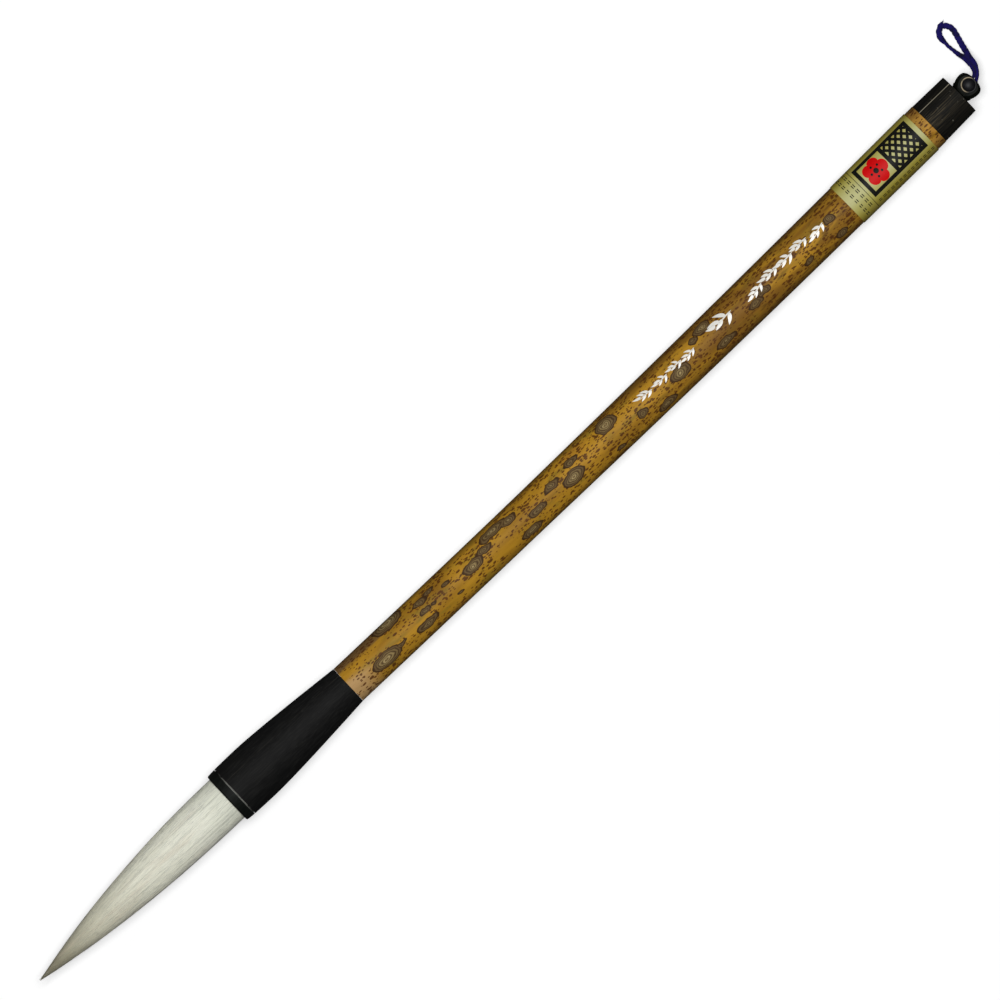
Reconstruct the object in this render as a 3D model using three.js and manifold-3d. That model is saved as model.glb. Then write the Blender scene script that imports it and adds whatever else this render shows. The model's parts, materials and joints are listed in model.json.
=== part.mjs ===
// Calligraphy brush: a bamboo handle with a turned horn ferrule, a hair tuft and a horn tail cap
// with a hanging loop. Millimetres, +Z up. The brush lies on a table along X, tip towards -X,
// resting on the belly of its ferrule and on the tail end of its handle.
import * as THREE from 'three';
import { mergeVertices } from 'three/addons/utils/BufferGeometryUtils.js';
import Module from 'manifold-3d';

const wasm = await Module();
wasm.setup();

// ---------------------------------------------------------------- driving dimensions
const facets = 24; // sides of every turned piece; one side of each faces straight down
const glueGap = 0.1; // between pieces that are glued or plugged together
const softGap = 0.3; // between the sections of the hair

// handle
const handleLength = 189.4;
const handleBow = 0.65; // sideways rise of the bamboo's natural bend, towards -Y
const handleFrontRadius = 5.08;
const handleTailRadius = 5.73;
const swellStart = 55; // from the ferrule, where the culm starts to swell towards its tail
const swellEase = 1.2; // over 1, the swelling slows down towards the tail
const handleBoreRadius = 2.6;

// ferrule and mouth ring
const ferruleLength = 39; // with its ring
const ferruleBellyWall = 0.98; // round the hair's bore
const ferruleBellyAt = 9; // behind the mouth
const ferruleEndStep = 0.02; // of the ferrule's end over the handle
const ferruleShoulder = 16; // where the line of the taper meets the belly, behind the mouth
const ringLength = 2.35;
const ringFrontWall = 0.73;
const ringBackWall = 0.91;
const ringEdge = 0.4; // rounding of the ring's front edge
const spigotLength = 4.5; // of the ring, inside the ferrule
const spigotWall = 0.4;
const mouthClearance = 0.12; // between the hair and its bore
const socketSpare = 0.5; // between the hair's seal and the bottom of its socket

// dowels
const dowelIntoFerrule = 14;
const dowelIntoHandle = 16;
const tailDowelIntoCap = 5;
const dowelChamfer = 0.5;

// hair
const hairLength = 61; // showing in front of the mouth
const hairRadius = 6;
const hairFullness = 2.27; // exponent of the outline from the mouth to the tip
const rootDepth = 10.5; // of hair inside the mouth
const coreRadius = 3.2;
const sealThickness = 1.4;
const threadWidth = 2.2;
const threadDepth = 0.5;
const threadFromBase = 1.6;
const waistEnd = 16; // the hair's sections, measured from the mouth towards the tip
const bellyEnd = 30;
const throatEnd = 38;
const tipRadius = 0.12;

// tail cap and hanger
const capLength = 10;
const capStep = 0.08; // of the cap's front under the handle
const capTaper = 0.2;
const knobLength = 5.05;
const knobNeckRadius = 2.4;
const knobRadius = 3.35;
const knobWidestAt = 3;
const knobBluntness = 2.6; // exponent of the knob's rounded end
const knobSpigotRadius = 1.4;
const knobSpigotLength = 3;
const knobEar = 1.35; // from the slot to the flats that the pin's heads sit on
const slotClearance = 0.25; // on each side of the cord
const slotFloor = 0.95; // from the cap's face
const pinRadius = 0.75;
const pinHeadRadius = 1.9;
const pinHeadRim = 0.35;
const pinHeadRise = 0.95;

// paper label
const labelLength = 24.4;
const labelFromCap = 2.6;
const labelThickness = 0.12;
const labelGap = 0.06;
const labelSides = 16; // of the handle's facets that the paper covers

// hanging loop: a flat woven cord that lies on the table beside the tail
const cordWidth = 1.5;
const cordThickness = 0.85;
const cordSides = 8;
const cordSteps = 56;
const cordLyingHeight = 0.8; // of its centreline above the table
// Along the brush from the cap's face, across towards +Y, and lift: 1 is the height of the pin
// and 0 lies on the table. From the knot to the pin, round it, and back to the knot.
const cordRoute = [
  [6.4, 14.1, 0],
  [5.95, 13.3, 0],
  [5.75, 12.1, 0],
  [5.85, 10.7, 0],
  [5.95, 9.3, 0.02],
  [6.25, 7.8, 0.1],
  [6.62, 6.3, 0.25],
  [6.75, 4.7, 0.5],
  [6.5, 3.0, 0.77],
  [5.85, 1.5, 0.94],
  [4.9, 0.55, 1],
  [3.95, 1.15, 1],
  [3.0, 1.45, 1],
  [1.97, 1.03, 1],
  [1.55, 0, 1],
  [1.97, -1.03, 1],
  [3.0, -1.45, 1],
  [4.0, -1.22, 1],
  [5.1, -0.55, 1],
  [6.75, 0.85, 0.94],
  [7.5, 2.75, 0.77],
  [7.8, 4.6, 0.5],
  [7.85, 6.3, 0.25],
  [8.15, 7.8, 0.1],
  [8.65, 9.7, 0.02],
  [9.05, 11.4, 0],
  [9.25, 12.9, 0],
  [9.05, 13.95, 0],
];
const knotRadius = 0.85;
const knotGap = 0.4; // to the ends of the cord
const knotRise = 0.35; // of its middle beyond the line between those ends

// ---------------------------------------------------------------- derived places
const mouthX = -ferruleLength; // the head's X runs back to 0, where the handle starts
const tipX = mouthX - hairLength;
const boreRadius = hairRadius + mouthClearance;
const spigotRadius = boreRadius + spigotWall;
const ringFrontRadius = boreRadius + ringFrontWall;
const ringBackRadius = boreRadius + ringBackWall;
const ferruleBellyRadius = boreRadius + ferruleBellyWall;
const ferruleEndRadius = handleFrontRadius + ferruleEndStep;
const rootBaseX = mouthX + rootDepth;
const socketFloorX = rootBaseX + sealThickness + socketSpare;
const dowelRadius = handleBoreRadius - glueGap;
const capFrontRadius = handleTailRadius - capStep;
const capBackRadius = capFrontRadius - capTaper;
const slotHeight = cordWidth + 2 * slotClearance;
const knobFlatHeight = slotHeight / 2 + knobEar;
const pinX = knobWidestAt;

// ---------------------------------------------------------------- materials
function material(color, roughness, metalness = 0) {
  return new THREE.MeshStandardMaterial({ color, roughness, metalness });
}
const bamboo = material(0x9a6f2a, 0.35);
const horn = material(0x1a1a19, 0.42);
const ringHorn = material(0x171a16, 0.35);
const hair = material(0xd6d8c4, 0.75);
const coreHair = material(0xb9ad93, 0.8);
const beech = material(0xc3a06c, 0.7);
const resin = material(0x8a5a22, 0.3);
const thread = material(0xe2dccb, 0.8);
const goldPaper = material(0xa09646, 0.45);
const navyCord = material(0x1c145a, 0.8);

// ---------------------------------------------------------------- mesh helpers
// One closed body: shared vertices merged, empty triangles dropped, faces pointing out.
function solid(source) {
  const bare = source.clone();
  bare.deleteAttribute('normal');
  bare.deleteAttribute('uv');
  const merged = mergeVertices(bare, 1e-4);
  const corner = i => new THREE.Vector3().fromBufferAttribute(merged.attributes.position, i);
  const old = merged.index.array;
  const kept = [];
  let volume = 0;
  for (let i = 0; i < old.length; i += 3) {
    const [a, b, c] = [old[i], old[i + 1], old[i + 2]];
    if (a === b || b === c || c === a) continue;
    kept.push(a, b, c);
    volume += corner(a).dot(corner(b).cross(corner(c)));
  }
  if (volume < 0) kept.reverse();
  merged.setIndex(kept);
  merged.computeVertexNormals();
  return merged;
}

// A turned piece on the X axis. The outline is a list of [x, radius] that closes on itself or
// starts and ends on the axis.
function turned(outline, sides = facets) {
  const points = outline.map(([x, radius]) => new THREE.Vector2(radius, x));
  const geometry = new THREE.LatheGeometry(points, sides, Math.PI / sides);
  geometry.rotateZ(-Math.PI / 2);
  return solid(geometry);
}

function rod(start, end, radius, chamfer) {
  return turned([
    [start, 0],
    [start, radius - chamfer],
    [start + chamfer, radius],
    [end - chamfer, radius],
    [end, radius - chamfer],
    [end, 0],
  ]);
}

function tube(start, end, innerRadius, outerRadius) {
  return turned([
    [start, innerRadius],
    [start, outerRadius],
    [end, outerRadius],
    [end, innerRadius],
    [start, innerRadius],
  ]);
}

// Points of a quadratic curve without its first point.
function curvePoints(from, control, to, count) {
  const curve = new THREE.QuadraticBezierCurve(
    new THREE.Vector2(...from), new THREE.Vector2(...control), new THREE.Vector2(...to));
  return curve.getPoints(count).slice(1).map(p => [p.x, p.y]);
}

// Steps evenly from one number to another, both included.
function steps(from, to, count) {
  return Array.from({ length: count + 1 }, (_, i) => from + (to - from) * i / count);
}

function toManifold(geometry) {
  return new wasm.Manifold(new wasm.Mesh({
    numProp: 3,
    vertProperties: new Float32Array(geometry.attributes.position.array),
    triVerts: new Uint32Array(geometry.index.array),
  }));
}

function fromManifold(body) {
  const mesh = body.getMesh();
  const geometry = new THREE.BufferGeometry();
  geometry.setAttribute('position', new THREE.BufferAttribute(mesh.vertProperties, 3));
  geometry.setIndex(Array.from(mesh.triVerts));
  return solid(geometry);
}

function cut(geometry, ...cutters) {
  return fromManifold(cutters.reduce(
    (body, cutter) => body.subtract(toManifold(solid(cutter))), toManifold(geometry)));
}

function addPiece(group, name, geometry, look) {
  const mesh = new THREE.Mesh(geometry, look);
  mesh.name = name;
  group.add(mesh);
  return mesh;
}

// ---------------------------------------------------------------- handle
function handleRadiusAt(x) {
  const swell = THREE.MathUtils.clamp((x - swellStart) / (handleLength - swellStart), 0, 1);
  const share = 1 - (1 - swell) ** swellEase;
  return handleFrontRadius + (handleTailRadius - handleFrontRadius) * share;
}

function bowAt(x) {
  const u = x / handleLength;
  return -4 * handleBow * u * (1 - u);
}

function bowAngleAt(x) {
  return Math.atan(-4 * handleBow * (1 - 2 * x / handleLength) / handleLength);
}

// Moves a straight piece on the X axis onto the bowed centreline of the bamboo.
function bowed(geometry) {
  const places = geometry.attributes.position;
  for (let i = 0; i < places.count; i += 1) {
    const x = places.getX(i);
    const y = places.getY(i);
    const angle = bowAngleAt(x);
    places.setX(i, x - y * Math.sin(angle));
    places.setY(i, bowAt(x) + y * Math.cos(angle));
  }
  geometry.computeVertexNormals();
  return geometry;
}

function bambooShaft() {
  const rings = 13;
  const outside = steps(0, handleLength, rings).map(x => [x, handleRadiusAt(x)]);
  const inside = steps(handleLength, 0, rings).map(x => [x, handleBoreRadius]);
  return bowed(turned([...outside, ...inside, outside[0]]));
}

function paperLabel() {
  const end = handleLength - labelFromCap;
  const start = end - labelLength;
  // measured to the corners of the facets, like the bamboo's own radius
  const inner = handleRadiusAt(end) + labelGap;
  const outer = inner + labelThickness;
  // its edges lie on the handle's corners, half a facet round from straight up towards +Y
  const side = 2 * Math.PI / facets;
  const angles = steps(0.5 - labelSides / 2, 0.5 + labelSides / 2, labelSides)
    .map(corner => corner * side);
  const at = (radius, angle) => new THREE.Vector2(
    radius * Math.sin(angle), radius * Math.cos(angle));
  const strip = new THREE.Shape([
    ...angles.map(angle => at(outer, angle)),
    ...angles.toReversed().map(angle => at(inner, angle)),
  ]);
  const geometry = new THREE.ExtrudeGeometry(
    strip, { depth: labelLength, steps: 3, bevelEnabled: false });
  // the strip's own axes are across and up; its depth runs along X
  geometry.applyMatrix4(new THREE.Matrix4().makeBasis(
    new THREE.Vector3(0, 1, 0), new THREE.Vector3(0, 0, 1), new THREE.Vector3(1, 0, 0)));
  geometry.translate(start, 0, 0);
  return bowed(solid(geometry));
}

const handle = new THREE.Group();
addPiece(handle, 'bamboo_shaft', bambooShaft(), bamboo);
addPiece(handle, 'paper_label', paperLabel(), goldPaper);

// ---------------------------------------------------------------- ferrule
function ferruleBody() {
  const front = mouthX + ringLength + glueGap;
  const belly = mouthX + ferruleBellyAt;
  const back = -glueGap / 2;
  const counterbore = spigotRadius + glueGap;
  const counterboreEnd = front + spigotLength;
  return turned([
    [front, counterbore],
    [front, ringBackRadius],
    ...curvePoints([front, ringBackRadius], [(front + belly) / 2, ferruleBellyRadius],
      [belly, ferruleBellyRadius], 3),
    ...curvePoints([belly, ferruleBellyRadius], [mouthX + ferruleShoulder, ferruleBellyRadius],
      [back, ferruleEndRadius], 10),
    [back, handleBoreRadius],
    [back - dowelIntoFerrule, handleBoreRadius],
    [back - dowelIntoFerrule, 0],
    [socketFloorX, 0],
    [socketFloorX, boreRadius],
    [counterboreEnd, boreRadius],
    [counterboreEnd, counterbore],
    [front, counterbore],
  ]);
}

function mouthRing() {
  const back = mouthX + ringLength;
  const spigotEnd = back + spigotLength;
  return turned([
    [mouthX, boreRadius],
    [mouthX, ringFrontRadius - ringEdge],
    ...curvePoints([mouthX, ringFrontRadius - ringEdge], [mouthX, ringFrontRadius],
      [mouthX + ringEdge, ringFrontRadius], 3),
    [back, ringBackRadius],
    [back, spigotRadius],
    [spigotEnd, spigotRadius],
    [spigotEnd, boreRadius],
    [mouthX, boreRadius],
  ]);
}

function ferruleDowel() {
  return rod(-dowelIntoFerrule + glueGap, dowelIntoHandle, dowelRadius, dowelChamfer);
}

const head = new THREE.Group();
head.rotation.z = bowAngleAt(0);
addPiece(head, 'ferrule_body', ferruleBody(), horn);
addPiece(head, 'mouth_ring', mouthRing(), ringHorn);
addPiece(head, 'ferrule_dowel', ferruleDowel(), beech);

// ---------------------------------------------------------------- hair
function hairRadiusAt(x) {
  const fromMouth = Math.min(1, Math.max(0, (mouthX - x) / hairLength));
  return tipRadius + (hairRadius - tipRadius) * (1 - fromMouth ** hairFullness);
}

function hairOutline(start, end, count) {
  return steps(start, end, count).map(x => [x, hairRadiusAt(x)]);
}

function hairSection(start, end, count) {
  return turned([[start, 0], ...hairOutline(start, end, count), [end, 0]]);
}

function hairCover(start, end, count) {
  const inner = coreRadius + glueGap;
  const outline = hairOutline(start, end, count);
  return turned([...outline, [end, inner], [start, inner], outline[0]]);
}

function coverRoot() {
  const inner = coreRadius + glueGap;
  const grooveEnd = rootBaseX - threadFromBase;
  const groove = grooveEnd - threadWidth;
  const waist = hairRadius - threadDepth;
  return turned([
    [mouthX, inner],
    [mouthX, hairRadius],
    [groove, hairRadius],
    [groove, waist],
    [grooveEnd, waist],
    [grooveEnd, hairRadius],
    [rootBaseX, hairRadius],
    [rootBaseX, inner],
    [mouthX, inner],
  ]);
}

function bindingThread() {
  const end = rootBaseX - threadFromBase - glueGap;
  const start = end - threadWidth + 2 * glueGap;
  const inner = hairRadius - threadDepth + glueGap;
  return tube(start, end, inner, hairRadius - glueGap / 2);
}

function rootSeal() {
  const start = rootBaseX + glueGap;
  return rod(start, start + sealThickness, hairRadius, glueGap);
}

const hairStarts = {
  waist: mouthX - softGap,
  belly: mouthX - waistEnd - softGap,
  throat: mouthX - bellyEnd - softGap,
  tip: mouthX - throatEnd - softGap,
};
const hairEnds = {
  waist: mouthX - waistEnd,
  belly: mouthX - bellyEnd,
  throat: mouthX - throatEnd,
};
addPiece(head, 'root_seal', rootSeal(), resin);
addPiece(head, 'binding_thread', bindingThread(), thread);
addPiece(head, 'cover_hair_root', coverRoot(), hair);
addPiece(head, 'core_hair_root', rod(mouthX, rootBaseX, coreRadius, glueGap), coreHair);
addPiece(head, 'cover_hair_waist', hairCover(hairEnds.waist, hairStarts.waist, 4), hair);
addPiece(head, 'core_hair_waist',
  rod(hairEnds.waist, hairStarts.waist, coreRadius, glueGap), coreHair);
addPiece(head, 'cover_hair_belly', hairCover(hairEnds.belly, hairStarts.belly, 5), hair);
addPiece(head, 'core_hair_belly',
  rod(hairEnds.belly, hairStarts.belly, coreRadius, glueGap), coreHair);
addPiece(head, 'throat_hair', hairSection(hairEnds.throat, hairStarts.throat, 4), hair);
addPiece(head, 'tip_hair', hairSection(tipX, hairStarts.tip, 10), hair);

// ---------------------------------------------------------------- tail cap and hanger
function tailCap() {
  const front = glueGap / 2;
  const dowelBore = tailDowelIntoCap;
  const spigotBore = capLength - knobSpigotLength - glueGap;
  return turned([
    [dowelBore, 0],
    [dowelBore, handleBoreRadius],
    [front, handleBoreRadius],
    [front, capFrontRadius],
    [capLength, capBackRadius],
    [capLength, knobSpigotRadius + glueGap],
    [spigotBore, knobSpigotRadius + glueGap],
    [spigotBore, 0],
  ]);
}

function tailDowel() {
  return rod(-dowelIntoHandle, tailDowelIntoCap - glueGap, dowelRadius, dowelChamfer);
}

// The far half of the knob is a blunt rounded end, the near half a flare from its neck.
function knobRadiusAt(x) {
  if (x <= knobWidestAt) {
    return knobNeckRadius + (knobRadius - knobNeckRadius) * Math.sin(Math.PI / 2 * x / knobWidestAt);
  }
  const u = Math.min(1, (x - knobWidestAt) / (knobLength - knobWidestAt));
  return knobRadius * (1 - u ** knobBluntness) ** (1 / knobBluntness);
}

function hangerKnob() {
  const face = glueGap;
  const body = turned([
    [-knobSpigotLength, 0],
    [-knobSpigotLength, knobSpigotRadius],
    [face, knobSpigotRadius],
    ...steps(face, knobWidestAt, 4).map(x => [x, knobRadiusAt(x)]),
    ...steps(0, Math.PI / 2, 7).slice(1).map(a => {
      const x = knobWidestAt + (knobLength - knobWidestAt) * Math.sin(a);
      return [x, knobRadiusAt(x)];
    }),
  ]);
  const slotLength = 2 * knobLength;
  const slot = new THREE.BoxGeometry(slotLength, 4 * knobRadius, slotHeight);
  slot.translate(slotFloor + slotLength / 2, 0, 0);
  const bore = new THREE.CylinderGeometry(
    pinRadius + glueGap, pinRadius + glueGap, 4 * knobRadius, 16);
  bore.rotateX(Math.PI / 2);
  bore.translate(pinX, 0, 0);
  const flats = [1, -1].map(side => {
    const flat = new THREE.BoxGeometry(4 * knobRadius, 4 * knobRadius, knobRadius);
    flat.translate(pinX, 0, side * (knobFlatHeight + knobRadius / 2));
    return flat;
  });
  return cut(body, slot, bore, ...flats);
}

function hangerPin() {
  const seat = knobFlatHeight + glueGap;
  const dome = steps(0, Math.PI / 2, 5).slice(1).map(a => [
    seat + pinHeadRim + pinHeadRise * Math.sin(a), pinHeadRadius * Math.cos(a)]);
  const upper = [
    [0, pinRadius],
    [seat, pinRadius],
    [seat, pinHeadRadius],
    [seat + pinHeadRim, pinHeadRadius],
    ...dome.slice(0, -1),
    [seat + pinHeadRim + pinHeadRise, 0],
  ];
  const lower = upper.slice(1).map(([x, radius]) => [-x, radius]).toReversed();
  const pin = turned([...lower, ...upper], 16);
  pin.rotateY(-Math.PI / 2);
  pin.translate(pinX, 0, 0);
  return pin;
}

const tail = new THREE.Group();
tail.position.x = handleLength;
tail.rotation.z = bowAngleAt(handleLength);
addPiece(tail, 'tail_cap', tailCap(), horn);
addPiece(tail, 'tail_dowel', tailDowel(), beech);
const hanger = new THREE.Group();
hanger.position.x = capLength;
addPiece(hanger, 'hanger_knob', hangerKnob(), horn);
addPiece(hanger, 'hanger_pin', hangerPin(), horn);
tail.add(hanger);

// ---------------------------------------------------------------- the brush on its table
// It rests on the ferrule's belly and on the handle's tail end, so the thinner tail lies lower.
const flatness = Math.cos(Math.PI / facets); // from a corner's radius to a facet's
const restingDrop = (ferruleBellyRadius - handleTailRadius) * flatness;
const restingSpan = handleLength + ferruleLength - ferruleBellyAt;
const brush = new THREE.Group();
brush.add(handle, head, tail);
brush.rotation.y = Math.atan2(restingDrop, restingSpan);
brush.updateMatrixWorld(true);
const extent = new THREE.Box3().expandByObject(brush, true);
const middle = extent.getCenter(new THREE.Vector3());
brush.position.set(-middle.x, -middle.y, -extent.min.z);
brush.updateMatrixWorld(true);

// ---------------------------------------------------------------- hanging loop
// Its group stands level on the table under the cap's face and looks along the tail.
const capFace = hanger.getWorldPosition(new THREE.Vector3());
const pinHeight = hanger.localToWorld(new THREE.Vector3(pinX, 0, 0)).z;
const loop = new THREE.Group();
loop.position.set(capFace.x, capFace.y, 0);
loop.rotation.z = tail.rotation.z;

function cordPoint([along, across, lift]) {
  return new THREE.Vector3(
    along, across, cordLyingHeight + (pinHeight - cordLyingHeight) * lift);
}

function hangingLoop() {
  const path = new THREE.CatmullRomCurve3(cordRoute.map(cordPoint), false, 'centripetal');
  const section = new THREE.Shape(steps(0, 2 * Math.PI, cordSides).slice(0, -1).map(turn => {
    const angle = turn + Math.PI / cordSides;
    const reach = Math.cos(Math.PI / cordSides);
    return new THREE.Vector2(
      cordWidth / 2 * Math.cos(angle) / reach, cordThickness / 2 * Math.sin(angle) / reach);
  }));
  return solid(new THREE.ExtrudeGeometry(
    section, { steps: cordSteps, extrudePath: path, bevelEnabled: false }));
}

// The knot closes the loop between the cord's two ends.
function loopKnot() {
  const first = cordPoint(cordRoute[0]);
  const last = cordPoint(cordRoute.at(-1));
  const across = last.clone().sub(first);
  const halfLength = across.length() / 2 - knotGap;
  const knot = turned(steps(0, Math.PI, 8).map(a => [
    -halfLength * Math.cos(a), knotRadius * Math.sin(a)]), 12);
  knot.scale(1, 1, cordWidth / 2 / knotRadius);
  knot.translate(0, knotRise, 0);
  knot.rotateZ(Math.atan2(across.y, across.x));
  knot.translate(...first.add(last).multiplyScalar(0.5).toArray());
  return knot;
}

addPiece(loop, 'hanging_loop', hangingLoop(), navyCord);
addPiece(loop, 'loop_knot', loopKnot(), navyCord);

const calligraphyBrush = new THREE.Group();
calligraphyBrush.add(brush, loop);
export default calligraphyBrush;
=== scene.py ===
import itertools
import json
import math

import bmesh
import bpy
import numpy as np
from mathutils import Matrix, Vector


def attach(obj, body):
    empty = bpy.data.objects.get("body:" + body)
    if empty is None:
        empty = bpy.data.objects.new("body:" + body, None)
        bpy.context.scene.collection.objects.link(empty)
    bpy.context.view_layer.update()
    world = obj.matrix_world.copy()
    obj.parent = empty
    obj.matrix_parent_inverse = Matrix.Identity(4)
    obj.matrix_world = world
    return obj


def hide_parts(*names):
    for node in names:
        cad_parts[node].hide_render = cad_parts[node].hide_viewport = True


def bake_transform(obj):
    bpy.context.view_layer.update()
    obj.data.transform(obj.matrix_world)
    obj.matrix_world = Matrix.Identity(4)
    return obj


# The looks of a calligraphy brush that lies on a table: a mottled bamboo handle with a paper
# label and painted leaves, a turned horn ferrule and mouth ring, a hair tuft, a horn tail cap with
# a pinned knob, and a flat woven hanging loop. Meshes are built in millimetres, in straight frames
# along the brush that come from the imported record, and are placed in the row frame in metres.
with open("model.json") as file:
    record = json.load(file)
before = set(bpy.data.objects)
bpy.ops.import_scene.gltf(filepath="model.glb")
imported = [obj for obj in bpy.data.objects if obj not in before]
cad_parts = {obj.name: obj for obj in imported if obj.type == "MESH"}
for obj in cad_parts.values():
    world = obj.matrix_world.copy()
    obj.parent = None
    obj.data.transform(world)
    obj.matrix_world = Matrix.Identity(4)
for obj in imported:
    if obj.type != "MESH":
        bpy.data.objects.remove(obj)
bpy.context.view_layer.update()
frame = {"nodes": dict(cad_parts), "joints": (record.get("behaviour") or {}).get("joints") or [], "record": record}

MM = 0.001
TURN = 2 * math.pi
SIDES = 144  # round the turned pieces


# ------------------------------------------------------------------ frames along the brush
class Place:
    """A straight frame in millimetres: x towards the tail, y across to the loop's side, z up."""

    def __init__(self, origin, along, above):
        self.origin = np.array(origin, float)
        self.axes = np.array([along, above.cross(along), above], float)

    def world(self, points):
        return self.origin + MM * self.bend(np.asarray(points, float)) @ self.axes

    def local(self, points):
        return (np.asarray(points, float) - self.origin) @ self.axes.T / MM

    def bend(self, points):
        return points


class BowedPlace(Place):
    """The handle's frame: its centreline bows sideways in a shallow curve, towards -y."""

    def __init__(self, origin, along, above, length, bow):
        super().__init__(origin, along, above)
        self.length = length
        self.bow = bow

    def bend(self, points):
        share = points[..., 0] / self.length
        angle = np.arctan(-4 * self.bow * (1 - 2 * share) / self.length)
        bent = points.copy()
        bent[..., 0] -= points[..., 1] * np.sin(angle)
        bent[..., 1] = points[..., 1] * np.cos(angle) - 4 * self.bow * share * (1 - share)
        return bent

    def local(self, points):
        bent = super().local(points)
        straight = bent.copy()
        for _ in range(6):
            straight += bent - self.bend(straight)
        return straight


PIVOT_FROM_MOUTH = 8.0  # of the tuft's first bend, out of the mouth
PIN_FROM_CAP = 3.0
joints = {joint["name"]: joint for joint in frame["joints"]}
mounts = {mount["name"]: mount for mount in frame["record"]["mounts"]}
up = Vector(joints["tuft_side_bend"]["axis"]).normalized()
level = Vector((up.z, 0, -up.x))
head_along = -Vector(mounts["mouth_face"]["axis"]).normalized()
tail_along = 2 * head_along.dot(level) * level - head_along
mouth = Vector(joints["tuft_side_bend"]["pos_m"]) + MM * PIVOT_FROM_MOUTH * head_along
cap_face = Vector(joints["loop_swing"]["pos_m"]) - MM * PIN_FROM_CAP * tail_along
from_mouth = Place(mouth, head_along, up)
from_cap = Place(cap_face, tail_along, up)


def vertices_of(node, place):
    """The CAD node's vertices in a frame of the brush."""
    return place.local([v.co for v in frame["nodes"][node].data.vertices])


def ends_of(node, place):
    along = vertices_of(node, place)[:, 0]
    return float(along.min()), float(along.max())


FERRULE_LENGTH = round(ends_of("ferrule_body", from_mouth)[1], 1)
CAP_LENGTH = -round(ends_of("tail_cap", from_cap)[0], 1)
handle_start = mouth + MM * FERRULE_LENGTH * head_along
handle_end = cap_face - MM * CAP_LENGTH * tail_along
HANDLE_LENGTH = (handle_end - handle_start).length / MM
HANDLE_BOW = -head_along.y / head_along.dot(level) * HANDLE_LENGTH / 4
head = Place(handle_start, head_along, up)
tail = Place(handle_end, tail_along, up)
handle = BowedPlace(handle_start, level, up, HANDLE_LENGTH, HANDLE_BOW)
MOUTH = -FERRULE_LENGTH


# ------------------------------------------------------------------ camera, light and floor
VIEW_MIDDLE = (3.50 * MM, 6.05 * MM)
AXIS_HEIGHT = 6 * MM
VIEW_WIDTH = 234.63 * MM  # seen at the height of the brush's axis
LENS = 900  # a very long lens: the view has next to no perspective
SENSOR = 36
VIEW_RIGHT = Vector((0.71945, -0.69455, 0))
VIEW_UP = Vector((0.69455, 0.71945, 0))
FLOOR_DROP = 0.07 * MM  # round pieces reach a little lower than the frame's facets


def turned_to(location, right, above):
    toward_viewer = right.cross(above)
    turn = Matrix((right, above, toward_viewer)).transposed().to_4x4()
    return Matrix.Translation(location) @ turn


def make_camera():
    lens = bpy.data.cameras.new("camera")
    lens.lens = LENS
    lens.sensor_width = SENSOR
    camera = bpy.data.objects.new("camera", lens)
    height = AXIS_HEIGHT + VIEW_WIDTH * LENS / SENSOR
    camera.matrix_world = turned_to((*VIEW_MIDDLE, height), VIEW_RIGHT, VIEW_UP)
    bpy.context.collection.objects.link(camera)
    bpy.context.scene.camera = camera


def make_area_light(name, location, size, power):
    """A round soft light that points at the middle of the brush."""
    light = bpy.data.lights.new(name, "AREA")
    light.shape = "DISK"
    light.size = size
    light.energy = power
    lamp = bpy.data.objects.new(name, light)
    lamp.location = location
    lamp.rotation_mode = "QUATERNION"
    lamp.rotation_quaternion = (-Vector(location)).to_track_quat("-Z", "Y")
    lamp.visible_camera = False
    bpy.context.collection.objects.link(lamp)


def make_floor():
    half = 4
    mesh = bpy.data.meshes.new("floor")
    corners = [(-half, -half), (half, -half), (half, half), (-half, half)]
    mesh.from_pydata([(x, y, -FLOOR_DROP) for x, y in corners], [], [(0, 1, 2, 3)])
    floor = bpy.data.objects.new("floor", mesh)
    bpy.context.collection.objects.link(floor)
    material = bpy.data.materials.new("floor_paper")
    material.use_nodes = True
    shader = material.node_tree.nodes["Principled BSDF"]
    shader.inputs["Base Color"].default_value = (0.6, 0.6, 0.6, 1)
    shader.inputs["Roughness"].default_value = 0.95
    shader.inputs["Specular IOR Level"].default_value = 0.0
    shader.inputs["Emission Color"].default_value = (1, 1, 1, 1)
    shader.inputs["Emission Strength"].default_value = 0.5
    mesh.materials.append(material)
    # its bounce would wash out the dark flanks of the round pieces
    floor.visible_diffuse = False
    floor.visible_glossy = False


def make_studio():
    make_camera()
    make_floor()
    make_area_light("soft_key", (0.03, 0.05, 1.25), 0.6, 13.2)
    make_area_light("side_fill", (-0.9, 0.9, 0.75), 0.6, 0.8)
    world = bpy.data.worlds.new("studio")
    world.use_nodes = True
    background = world.node_tree.nodes["Background"]
    background.inputs["Color"].default_value = (0.96, 0.98, 1, 1)
    background.inputs["Strength"].default_value = 0.06
    bpy.context.scene.world = world
    bpy.context.scene.view_settings.view_transform = "Standard"


make_studio()


# ------------------------------------------------------------------ meshes
def make_piece(name, points, faces, place, materials, sharp_angle=40):
    """A mesh whose vertices also keep their own straight place, in millimetres, as "brush"."""
    points = np.asarray(points, float)
    mesh = bpy.data.meshes.new(name)
    mesh.from_pydata(place.world(points).tolist(), [], faces)
    own_place = mesh.attributes.new("brush", "FLOAT_VECTOR", "POINT")
    own_place.data.foreach_set("vector", points.astype(np.float32).ravel())
    tidy_mesh(mesh, sharp_angle)
    for material in materials:
        mesh.materials.append(material)
    piece = bpy.data.objects.new(name, mesh)
    bpy.context.collection.objects.link(piece)
    return piece


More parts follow.
